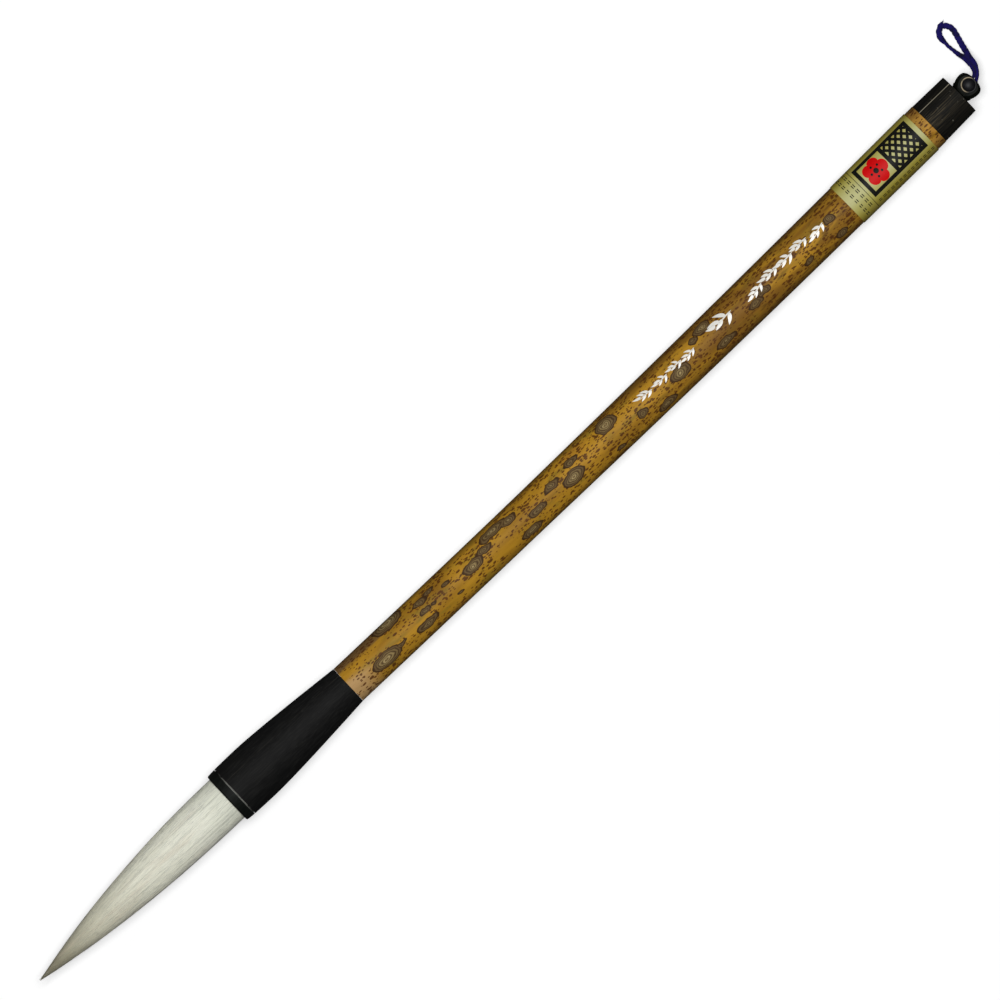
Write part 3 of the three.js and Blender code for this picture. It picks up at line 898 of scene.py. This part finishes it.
def ring_spots():
    """Middle (along, arc), length and width of every ring spot, those of the underside made up."""
    spots = []
    for along, across, length, width in RING_SPOTS:
        angle = math.asin(across / CULM_RADIUS)
        wide = 0.94 * width / max(0.6, math.cos(angle))
        spots.append((along, angle * CULM_RADIUS, 1.06 * length, wide))
    draw = np.random.default_rng(21)
    for i in range(HIDDEN_SPOTS):
        angle = draw.uniform(0.62, 1.38) * math.pi
        width = draw.uniform(1.6, 4.0)
        arc = (angle if angle < math.pi else angle - TURN) * CULM_RADIUS
        room = math.pi * CULM_RADIUS - width
        along = 6 + i * 7.6 + draw.uniform(-2, 2)
        length = width * draw.uniform(1.5, 2.4)
        spots.append((along, float(np.clip(arc, -room, room)), length, width))
    return spots


def spot_depth(look, place):
    """How deep inside a ring spot a point is, about in mm from its outline. Negative outside."""
    deepest = -10.0
    for along, arc, length, width in ring_spots():
        offset = look.vector("SUBTRACT", place, (along, arc, 0))
        reach = look.vector("LENGTH", look.scaled(offset, 2 / length, 2 / width, 0))
        half = min(width / 2, DEEPEST_SPOT)
        depth = look.times(reach, -half, half)
        deepest = look.math("MAXIMUM", deepest, depth)
    return deepest


def culm_ground(look, x, y):
    """The lacquered culm without its spots."""
    blotch = look.fibres(0.045, 0.22, 1, 4, 0.55, 0.4)
    colour = look.ramp(blotch, (0.28, rgb(136, 96, 28)), (0.45, rgb(166, 121, 32)),
                       (0.6, rgb(186, 138, 38)), (0.78, rgb(166, 115, 38)))
    olive = look.fibres(0.09, 0.3, 1.7, 3)
    colour = look.tinted(colour, look.ease(olive, 0.5, 0.7), 0.5, rgb(122, 108, 38))
    # browner towards the tail, with dark patches
    brown = look.times(look.ease(x, 70, 130), look.ease(blotch, 0.62, 0.4))
    colour = look.tinted(colour, brown, 0.6, rgb(122, 84, 34))
    mottle = look.fibres(0.09, 0.5, 1.5, 4, 0.65)
    dark_patch = look.times(look.ease(x, 78, 135), look.ease(mottle, 0.53, 0.66))
    colour = look.tinted(colour, dark_patch, 0.7, rgb(82, 54, 24))
    # the short paler stretch between the label and the tail cap
    beyond_label = look.ease(x, LABEL_END - 0.4, LABEL_END + 0.2)
    last = look.times(beyond_label, look.ease(mottle, 0.6, 0.45))
    colour = look.tinted(colour, last, 0.45, rgb(188, 142, 74))
    # painted shade: browner, streaky flanks on both sides, darker where the culm turns away from the light above
    flank_noise = look.fibres(0.07, 0.8, 1, 4, 0.6)
    side = look.math("ABSOLUTE", y)
    painted_flank_shade = look.times(flank_noise, 2.4, look.minus(side, 1.2))
    colour = look.tinted(colour, look.ease(painted_flank_shade, 3.6, 5.6), 0.72, rgb(92, 66, 24))
    # a pale bare patch and a dark streaky band beside the ferrule
    pale = look.times(look.ease(look.times(flank_noise, 5, x), 12, 5),
                      look.ease(look.times(olive, 2.5, y), 2.6, 0.8))
    colour = look.tinted(colour, pale, 0.85, rgb(188, 152, 104))
    band = look.times(look.ease(look.times(olive, 8, x), 24, 13),
                      look.ease(look.times(flank_noise, 1.6, y), 3.4, 4.4))
    streaks = look.fibres(0.05, 2.4, 1.6, 3)
    dark = look.mix(streaks, rgb(76, 50, 24), rgb(142, 110, 66))
    return look.mix(band, colour, dark)


def culm_specks(look):
    """1 in the small specks, which come in three sizes and in clusters."""
    cluster = look.ease(look.fibres(0.11, 0.28, 1, 2), 0.3, 0.47)
    specks = 0.0
    for stretch, largest in (((1.0, 2.4, 2.4), 0.54), ((0.62, 1.5, 1.5), 0.47),
                             ((0.36, 0.9, 0.9), 0.35)):
        distance, number = look.cells(look.scaled(look.own, *stretch), 1)
        reach = look.times(look.times(number, largest), cluster)
        found = look.ease(look.minus(distance, reach), 0.03, -0.05)
        specks = look.math("MAXIMUM", specks, found)
    return specks


def ring_depth(look, x, y, z):
    """The depth inside the ring spots, drawn on the unrolled culm, with uneven outlines."""
    arc = look.times(look.math("ARCTAN2", y, z), CULM_RADIUS)
    uneven = look.noise(look.own, 0.4, 1)
    uneven_too = look.noise(look.vector("ADD", look.own, (31, 17, 5)), 0.5, 1)
    place = look.join(look.times(uneven, 2.0, look.minus(x, 1.0)),
                      look.times(uneven_too, 1.1, look.minus(arc, 0.55)))
    grain = look.fibres(0.5, 2.2, 1.3, 3)
    return look.times(grain, 0.2, look.minus(spot_depth(look, place), 0.22))


def bamboo_look():
    look = Look("mottled_bamboo", Specular_IOR_Level=0.1)
    x, y, z = look.split(look.own)
    fibre = look.fibres(0.05, 4, 1.8, 3)
    colour = look.tinted(culm_ground(look, x, y), look.ease(fibre, 0.5, 0.85), 0.45,
                         rgb(112, 80, 28))
    specks = culm_specks(look)
    speck_tone = look.mix(look.noise(look.own, 1.2, 2), rgb(54, 28, 12), rgb(104, 58, 20))
    colour = look.tinted(colour, specks, 0.9, speck_tone)
    depth = ring_depth(look, x, y, z)
    rings = look.ramp(
        look.times(depth, 1 / DEEPEST_SPOT),
        (0.0, rgb(56, 36, 18)), (0.1, rgb(72, 50, 28)), (0.18, rgb(112, 90, 56)),
        (0.27, rgb(66, 46, 26)), (0.36, rgb(130, 108, 68)), (0.45, rgb(66, 46, 26)),
        (0.55, rgb(156, 134, 88)), (0.64, rgb(74, 54, 32)), (0.73, rgb(184, 162, 112)),
        (0.82, rgb(86, 64, 38)), (0.92, rgb(160, 136, 90)), (1.0, rgb(92, 70, 42)))
    rings = look.tinted(rings, look.ease(fibre, 0.5, 0.8), 0.5, rgb(82, 62, 36))
    inside = look.ease(depth, -0.05, 0.04)
    colour = look.mix(inside, colour, rings)
    height = look.minus(look.times(fibre, 0.5),
                        look.times(look.math("MAXIMUM", inside, specks), 0.35))
    rough = look.plus(look.range(fibre, 0.46, 0.6), look.times(inside, 0.08))
    return look.finish(colour, rough, height, 0.035)


def culm_radius(x):
    return np.interp(x, *np.array(SHAFT_OUTLINE).T)


def make_bamboo():
    bore = inner_radius("bamboo_shaft", handle, 0)
    closed = [*SHAFT_OUTLINE, (HANDLE_LENGTH, bore), (0, bore), SHAFT_OUTLINE[0]]
    shaft = turned("bamboo", closed, handle, [bamboo_look()])
    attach(shaft, "handle")
    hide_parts("bamboo_shaft")


make_bamboo()


# ------------------------------------------------------------------ painted leaves and label
LACQUER_LIFT = 0.028
LACQUER_DEPTH = 0.06


def hugging(grid, lift, depth, wrap=False):
    """A thin closed sheet that hugs the handle, from rows and columns of (along, arc) in mm.
    With wrap the columns close on themselves round the first row, which is one point."""
    grid = np.asarray(grid, float)
    rows, columns = grid.shape[:2]
    angle = grid[..., 1] / CULM_RADIUS

    def layer(height):
        radius = culm_radius(grid[..., 0]) + height
        points = np.stack([grid[..., 0], radius * np.sin(angle), radius * np.cos(angle)], axis=-1)
        return points.reshape(-1, 3)

    top = grid_faces(rows, columns, wrap_columns=wrap)
    count = rows * columns
    bottom = [tuple(corner + count for corner in face[::-1]) for face in top]
    if wrap:
        edge = [(rows - 1) * columns + j for j in range(columns)]
    else:
        edge = [*range(columns), *(i * columns + columns - 1 for i in range(1, rows)),
                *((rows - 1) * columns + j for j in range(columns - 2, -1, -1)),
                *(i * columns for i in range(rows - 2, 0, -1))]
    sides = [(a, b, b + count, a + count) for a, b in zip(edge, edge[1:] + edge[:1])]
    return np.vstack([layer(lift), layer(lift - depth)]), top + bottom + sides


def leaf(base, direction, length, width, curl):
    """One painted leaf: wide near its base, with a long point that curls to one side."""
    rows = []
    for t in np.linspace(0, 1, 15):
        heading = direction + curl * t
        along = base[0] + length * t * math.cos(heading)
        arc = base[1] + length * t * math.sin(heading)
        half = width / 2 * math.sin(math.pi * t ** 0.62) ** 0.85
        across = np.array((-math.sin(heading), math.cos(heading)))
        rows.append([(along, arc) + across * half * side for side in (-1, -0.4, 0.4, 1)])
    return hugging(rows, LACQUER_LIFT, LACQUER_DEPTH)


def lacquer_look():
    """Thick white brushed lacquer."""
    look = Look("white_lacquer", Coat_Weight=0.3, Coat_Roughness=0.2)
    brushed = look.fibres(1.2, 5, 1.5, 3)
    colour = look.mix(brushed, rgb(252, 252, 250), rgb(226, 222, 206))
    return look.finish(colour, look.range(brushed, 0.3, 0.5), brushed, 0.02)


# Sprigs of painted leaves: middle, along from the ferrule, and size.
LEAF_SPRIGS = [
    (153.1, 4.3), (147.9, 4.2), (143.0, 4.4), (138.1, 4.4), (133.0, 4.2), (122.4, 6.2),
    (111.4, 3.6), (107.2, 3.7), (102.5, 3.6), (97.4, 4.0),
]
SPRIG_ARC = 1.2
# The leaves of one sprig: place along its stem, and turn from it.
SPRIG_LEAVES = [(0.12, 0.95), (0.3, -0.85), (0.5, 0.7), (0.62, -0.6), (0.85, 0.1)]


def make_leaves():
    draw = np.random.default_rng(4)
    parts = []
    for middle, size in LEAF_SPRIGS:
        lean = draw.uniform(-0.25, 0.25)
        foot = (middle + 0.52 * size, SPRIG_ARC + draw.uniform(-0.3, 0.3))
        stem = math.pi + lean
        parts.append(leaf(foot, stem, size * 1.02, 0.3, 0.12))
        for share, turn in SPRIG_LEAVES:
            base = (foot[0] + share * size * math.cos(stem), foot[1] + share * size * math.sin(stem))
            bend = turn + draw.uniform(-0.15, 0.15)
            long = size * draw.uniform(0.42, 0.58)
            parts.append(leaf(base, stem + bend, long, size * 0.16, -0.25 * math.copysign(1, turn)))
    leaves = make_piece("painted_leaves", *join_parts(parts), handle, [lacquer_look()])
    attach(leaves, "handle")


LABEL_LIFT = 0.16
LABEL_THICKNESS = 0.12
INK_LIFT = LABEL_LIFT + 0.014
INK_DEPTH = 0.03
# The print: places along the handle, and arcs round it.
FRAME_ALONG = (LABEL_START + 5.9, LABEL_END - 1.2)
FRAME_ARC = (-3.3, 5.2)
FRAME_LINE = 1.0
DIVIDER = LABEL_START + 14.3
RULE_ALONG = (LABEL_START + 5.02, LABEL_START + 5.15)
RULE_ARC = (-6.2, 8.4)
LATTICE_PITCH = 1.9
LATTICE_SLOPE = 0.9
LATTICE_HALF_LINE = 0.46
BLOSSOM_ALONG = LABEL_START + 10.35
BLOSSOM_RADIUS = 3.3
DASH_LINE = 0.22
DASH_PITCH = 1.32  # of the dashes beside the frame
MARK_PITCH = 1.45  # of the pairs of dashes below the frame
MARK_ROWS = [(LABEL_START + 3.5, -4.2, 7.2), (LABEL_START + 1.7, -5.6, 7.6)]


def paper_look():
    look = Look("gold_paper", Specular_IOR_Level=0.2)
    fibre = look.fibres(1.3, 2, 2.2, 4)
    blotch = look.noise(look.own, 0.22, 3)
    # painted sheen and shade: the paper is lighter along the middle of the label and darker towards both sides
    side = look.math("ABSOLUTE", look.minus(look.split(look.own)[1], 0.4))
    colour = look.ramp(look.math("DIVIDE", side, 6), (0.2, rgb(190, 188, 128)),
                       (0.55, rgb(182, 174, 92)), (0.8, rgb(158, 144, 48)), (1.0, rgb(128, 112, 30)))
    colour = look.tinted(colour, look.ease(blotch, 0.45, 0.75), 0.3, rgb(168, 164, 112))
    colour = look.tinted(colour, look.ease(fibre, 0.55, 0.8), 0.25, rgb(206, 204, 150))
    return look.finish(colour, look.range(fibre, 0.38, 0.55), fibre, 0.03)


def ink_look(name, first, second):
    look = Look(name, Specular_IOR_Level=0.12)
    grain = look.noise(look.own, 6, 3)
    colour = look.mix(look.ease(grain, 0.4, 0.7), first, second)
    return look.finish(colour, look.range(grain, 0.42, 0.6), grain, 0.015)


def ink_bar(along, arc):
    """A straight-sided patch of ink between two places along and two arcs."""
    rows = np.linspace(*along, max(2, round((along[1] - along[0]) / 2) + 1))
    columns = np.linspace(*arc, max(2, round((arc[1] - arc[0]) / 0.45) + 1))
    return hugging([[(x, s) for s in columns] for x in rows], INK_LIFT, INK_DEPTH)


def frame_bars():
    """The frame round the label's two cells, the line between them, and the thin rule below."""
    (low, high), (left, right) = FRAME_ALONG, FRAME_ARC
    return [
        ink_bar((low, low + FRAME_LINE), FRAME_ARC),
        ink_bar((high - FRAME_LINE, high), FRAME_ARC),
        ink_bar((DIVIDER - FRAME_LINE / 2, DIVIDER + FRAME_LINE / 2), FRAME_ARC),
        ink_bar(FRAME_ALONG, (left, left + FRAME_LINE)),
        ink_bar(FRAME_ALONG, (right - FRAME_LINE, right)),
        ink_bar(RULE_ALONG, RULE_ARC),
    ]


def lattice(low, high, left, right):
    """Slanted bars both ways across a cell, clipped to it."""
    parts = []
    width = right - left
    for slant in (-1, 1):
        for start in np.arange(low - width, high + width, LATTICE_PITCH):
            rows = []
            for s in np.linspace(left, right, 24):
                x = start + slant * (s - left) * LATTICE_SLOPE
                sides = np.clip((x - LATTICE_HALF_LINE, x + LATTICE_HALF_LINE), low, high)
                if sides[1] - sides[0] > 0.02:
                    rows.append([(side, s) for side in sides])
            if len(rows) > 1:
                parts.append(hugging(rows, INK_LIFT - 0.002 * slant, INK_DEPTH))
    return parts


def dashes():
    """Rows of plain short dashes in the place of small print."""
    parts = []
    draw = np.random.default_rng(8)
    for along in np.arange(LABEL_START + 6.0, LABEL_END - 0.8, DASH_PITCH):
        long = draw.uniform(0.75, 1.05)
        for arc in (-5.25, -4.75):
            parts.append(ink_bar((along, along + long), (arc, arc + DASH_LINE)))
    for row, first, last in MARK_ROWS:
        for arc in np.arange(first, last, MARK_PITCH):
            wide = draw.uniform(0.7, 1.05)
            for along in (row, row + 0.5):
                parts.append(ink_bar((along, along + DASH_LINE), (arc, arc + wide)))
    return parts


def disc(middle, reach, angle, rings, lift):
    """A patch round its middle, (along, arc), that reaches a given distance at each angle."""
    along, arc = middle
    rows = [[(along + share * r * math.cos(a), arc + share * r * math.sin(a))
             for r, a in zip(reach, angle)] for share in np.linspace(0, 1, rings)]
    return hugging(rows, lift, INK_DEPTH, wrap=True)


def blossom(middle, radius):
    """A five-petalled blossom with notched petals."""
    angle = np.arange(100) / 100 * TURN
    reach = radius * (0.74 + 0.26 * abs(np.cos(2.5 * angle)) ** 0.7)
    return disc(middle, reach, angle, 9, INK_LIFT)


def stamens(middle, radius):
    """The blossom's middle: a small disc and five dots round it, in black."""
    parts = []
    angle = np.arange(24) / 24 * TURN
    for out, turn, size in [(0, 0, 0.2), *((0.42, TURN * (i + 0.5) / 5, 0.09) for i in range(5))]:
        centre = (middle[0] + out * radius * math.cos(turn),
                  middle[1] + out * radius * math.sin(turn))
        parts.append(disc(centre, np.full(24, size * radius), angle, 3, INK_LIFT + 0.008))
    return parts


def make_label():
    points = vertices_of("paper_label", handle)
    low, high = points[:, 0].min(), points[:, 0].max()
    angles = np.arctan2(points[:, 1], points[:, 2])
    start, end = (angle * CULM_RADIUS for angle in (angles.min(), angles.max()))
    columns = np.linspace(start, end, 90)
    rows = [[(x, s) for s in columns] for x in np.linspace(low, high, 14)]
    paper = make_piece("label_paper", *hugging(rows, LABEL_LIFT, LABEL_THICKNESS), handle,
                       [paper_look()])
    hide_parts("paper_label")
    cell = (DIVIDER + FRAME_LINE / 2, FRAME_ALONG[1] - FRAME_LINE)
    middle = (BLOSSOM_ALONG, sum(FRAME_ARC) / 2)
    black_parts = [*frame_bars(), *dashes(),
                   *lattice(*cell, FRAME_ARC[0] + FRAME_LINE, FRAME_ARC[1] - FRAME_LINE),
                   *stamens(middle, BLOSSOM_RADIUS)]
    black = make_piece("label_black_print", *join_parts(black_parts), handle,
                       [ink_look("black_ink", rgb(14, 14, 13), rgb(34, 34, 30))])
    red = make_piece("label_red_print", *blossom(middle, BLOSSOM_RADIUS), handle,
                     [ink_look("red_ink", rgb(204, 4, 8), rgb(224, 14, 18))])
    for piece, slot in ((paper, "gold_paper"), (black, "black_ink"), (red, "red_ink")):
        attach(piece, "handle")


make_leaves()
make_label()


# ------------------------------------------------------------------ tail cap, knob and pin
KNOB_NECK = 2.4
KNOB_RADIUS = 3.35
KNOB_LENGTH = 5.05
KNOB_BLUNTNESS = 2.6  # over 2, the end is blunter than round
KNOB_SPIGOT = 1.4
FLAT_START = 0.3  # of the knob's two flats, from the cap
PIN_SIDES = 72


def cap_paint(look, colour, fibre):
    """The cap's paler streaks along its upper side, one long painted reflection of the light and a few nicks."""
    x, y, z = look.split(look.own)
    streak = look.fibres(0.12, 3.2, 1.2, 4, 0.6)
    near_top = look.times(look.ease(y, -3.2, 0.2), look.ease(y, 3.0, 1.2))
    near_top = look.times(near_top, look.ease(x, 11, 1))
    strength = look.times(look.ease(streak, 0.45, 0.72), look.range(near_top, 0.12, 0.9))
    colour = look.mix(strength, colour, rgb(88, 78, 58))
    # one long pale painted reflection of the light, and a few nicks
    turn = look.math("ARCTAN2", y, z)
    reflection_streak = look.times(look.between(turn, 0.655, 0.685, 0.014),
                      look.range(look.ease(fibre, 0.3, 0.5), 0.55, 0.9))
    colour = look.mix(reflection_streak, colour, rgb(172, 164, 142))
    nick_place = look.vector("ADD", look.scaled(look.own, 1.3, 0.55, 0.55), (5, 9, 2))
    nick = look.ease(look.noise(nick_place, 1.5, 2), 0.7, 0.74)
    return look.tinted(colour, nick, 0.5, rgb(120, 118, 108))


def make_cap():
    outline = outer_outline("tail_cap", tail)
    (front, front_radius), (back, back_radius) = outline[0], outline[-1]
    dowel = inner_radius("tail_cap", tail, front)
    dowel_floor = ends_of("tail_dowel", tail)[1] + 0.1
    spigot_floor = ends_of("hanger_knob", tail)[0] - 0.1
    spigot = inner_radius("tail_cap", tail, back)
    corners = [
        (front, dowel, 0), (front, front_radius, 0.06), (back, back_radius, 0.05),
        (back, spigot, 0), (spigot_floor, spigot, 0),
    ]
    closed = [(dowel_floor, 0), (dowel_floor, dowel), *rounded(corners), (spigot_floor, 0)]
    look = horn_look("cap_horn", rgb(14, 14, 13), rgb(30, 29, 25), 0.7, 0.55, 0.08, cap_paint)
    cap = turned("cap", closed, tail, [look])
    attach(cap, "handle")
    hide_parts("tail_cap")


def box_mesh(name, place, low, high):
    """A closed box between two corners, used to cut the knob."""
    corners = list(itertools.product(*zip(low, high)))
    faces = [(0, 1, 3, 2), (4, 6, 7, 5), (0, 4, 5, 1), (2, 3, 7, 6), (0, 2, 6, 4), (1, 5, 7, 3)]
    return make_piece(name, corners, faces, place, [])


def cut_away(piece, cutters, bevel):
    """Cuts the cutters out of a piece and rounds its sharp edges."""
    for cutter in cutters:
        modifier = piece.modifiers.new("cut", "BOOLEAN")
        modifier.operation = "DIFFERENCE"
        modifier.solver = "EXACT"
        modifier.object = cutter
    rounding = piece.modifiers.new("rounding", "BEVEL")
    rounding.width = bevel * MM
    rounding.segments = 3
    rounding.limit_method = "ANGLE"
    rounding.angle_limit = math.radians(40)
    rounding.harden_normals = True
    evaluated = piece.evaluated_get(bpy.context.evaluated_depsgraph_get())
    finished = bpy.data.meshes.new_from_object(evaluated)
    piece.modifiers.clear()
    piece.data = finished
    for cutter in cutters:
        bpy.data.objects.remove(cutter)
    store_own_place(piece)


def store_own_place(piece):
    """Sets the "brush" places again after a cut."""
    points = from_cap.local([v.co for v in piece.data.vertices])
    own_place = piece.data.attributes.get("brush") or piece.data.attributes.new(
        "brush", "FLOAT_VECTOR", "POINT")
    own_place.data.foreach_set("vector", points.astype(np.float32).ravel())


def make_knob():
    outline = outer_outline("hanger_knob", from_cap)
    points = vertices_of("hanger_knob", from_cap)
    flat = points[:, 2].max()
    reach = abs(points[:, 1]).max()
    slot_ends = points[(abs(points[:, 1]) < reach) & (abs(points[:, 2]) < flat - 0.3)]
    slot_half = min(abs(z) for x, y, z in slot_ends if x > 1.2 and abs(y) > 1.2)
    slot_floor = min(x for x, y, z in slot_ends if abs(abs(z) - slot_half) < 0.02)
    look = horn_look("knob_horn", rgb(7, 10, 6), rgb(15, 18, 13), 0.6, 0.5, 0.1)
    start, end = ends_of("hanger_knob", from_cap)
    body = [(start, 0), *[p for p in knob_outline(outline) if p[0] < end - 1e-6], (end, 0)]
    knob = turned("knob", body, from_cap, [look], sides=96)
    far = 3 * reach
    cutters = [
        box_mesh("slot_cutter", from_cap, (slot_floor, -far, -slot_half), (far, far, slot_half)),
        box_mesh("upper_cutter", from_cap, (FLAT_START, -far, flat), (far, far, far)),
        box_mesh("lower_cutter", from_cap, (FLAT_START, -far, -far), (far, far, -flat)),
    ]
    cut_away(knob, cutters, 0.1)
    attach(knob, "handle")
    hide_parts("hanger_knob")


def knob_outline(outline):
    """The knob's spigot, its flare and its blunt round end."""
    start = outline[0][0]
    flare = [(x, KNOB_NECK + (KNOB_RADIUS - KNOB_NECK) * math.sin(TURN / 4 * x / PIN_FROM_CAP))
             for x in np.linspace(0.04, PIN_FROM_CAP, 16)]
    end = []
    for angle in np.linspace(0, TURN / 4, 24)[1:-1]:
        u = math.sin(angle)
        radius = KNOB_RADIUS * (1 - u ** KNOB_BLUNTNESS) ** (1 / KNOB_BLUNTNESS)
        end.append((PIN_FROM_CAP + (KNOB_LENGTH - PIN_FROM_CAP) * u, radius))
    return [(start, KNOB_SPIGOT), (0.04, KNOB_SPIGOT), *flare, *end]


def pin_rim_highlight(look, colour, _):
    """A pale rim round the head, partly a joint line and partly a painted highlight, brightest on the loop's side
    where the light catches it.
    """
    x, y, _ = look.split(look.own)
    out = look.vector("LENGTH", look.join(look.minus(x, PIN_FROM_CAP), y, 0.0))
    rim = look.times(look.between(out, 1.62, 1.86, 0.05),
                     look.ease(look.noise(look.own, 0.5, 2), 0.25, 0.45))
    # painted highlight: the rim is pale only on the loop's side, where the light falls
    side = look.ease(look.minus(y, look.times(x, 0.5)), -2.4, -0.9)
    return look.mix(look.times(rim, side), colour, rgb(158, 144, 116))


def make_pin():
    points = vertices_of("hanger_pin", from_cap)
    top = abs(points[:, 2]).max()
    seat = min(abs(z) for x, y, z in points if math.hypot(x - PIN_FROM_CAP, y) > 1.5)
    head_radius = np.hypot(points[:, 0] - PIN_FROM_CAP, points[:, 1]).max()
    shank = np.hypot(points[:, 0] - PIN_FROM_CAP, points[:, 1])[abs(points[:, 2]) < seat].min()
    dome = [(seat + 0.42 + (top - seat - 0.42) * math.sin(a), (head_radius - 0.34) * math.cos(a))
            for a in np.linspace(0, TURN / 4, 20)[:-1]]
    # the head's underside slopes from the shank straight to the rim, whose first corner only
    # tells the second one where its fillet starts
    corners = [(seat, head_radius, 0), (seat + 0.4, head_radius, 0.14),
               (seat + 0.4, head_radius - 0.3, 0.08), (seat + 0.34, head_radius - 0.34, 0)]
    upper = [(seat, shank), *rounded(corners)[1:], *dome, (top, 0)]
    lower = [(-x, radius) for x, radius in reversed(upper)]
    axis = Place(Vector(joints["loop_swing"]["pos_m"]), up, tail_along)
    outline = np.array([*lower, *upper])
    local = turned_points(outline, PIN_SIDES)
    look = horn_look("pin_horn", rgb(13, 13, 16), rgb(31, 31, 34), 0.5, 0.4, 0.18, pin_rim_highlight)
    faces = grid_faces(len(outline), PIN_SIDES)
    pin = make_piece("pin", from_cap.local(axis.world(local)), faces, from_cap, [look])
    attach(pin, "handle")
    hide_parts("hanger_pin")


make_cap()
make_knob()
make_pin()


# ------------------------------------------------------------------ pieces inside the brush
def dress(node, material):
    mesh = frame["nodes"][node].data
    mesh.materials.clear()
    mesh.materials.append(material)


def make_inner_looks():
    wood = cad_look("dowel_beech", rgb(176, 138, 92), rgb(208, 172, 124), (0.2, 2.2, 2.2), 0.6)
    resin = cad_look("root_resin", rgb(96, 56, 18), rgb(148, 96, 38), (0.6, 0.6, 0.6), 0.25)
    binding = cad_look("binding_thread", rgb(206, 198, 178), rgb(236, 230, 214), (3, 0.4, 0.4), 0.7)
    hair = cad_look("root_hair", rgb(186, 190, 170), rgb(224, 226, 208), (0.05, 4, 4), 0.6)
    core = cad_look("root_core_hair", rgb(150, 134, 104), rgb(196, 184, 154), (0.05, 4, 4), 0.65)
    for node, material in (
        ("ferrule_dowel", wood), ("tail_dowel", wood), ("root_seal", resin),
        ("binding_thread", binding), ("cover_hair_root", hair), ("core_hair_root", core),
    ):
        dress(node, material)


make_inner_looks()
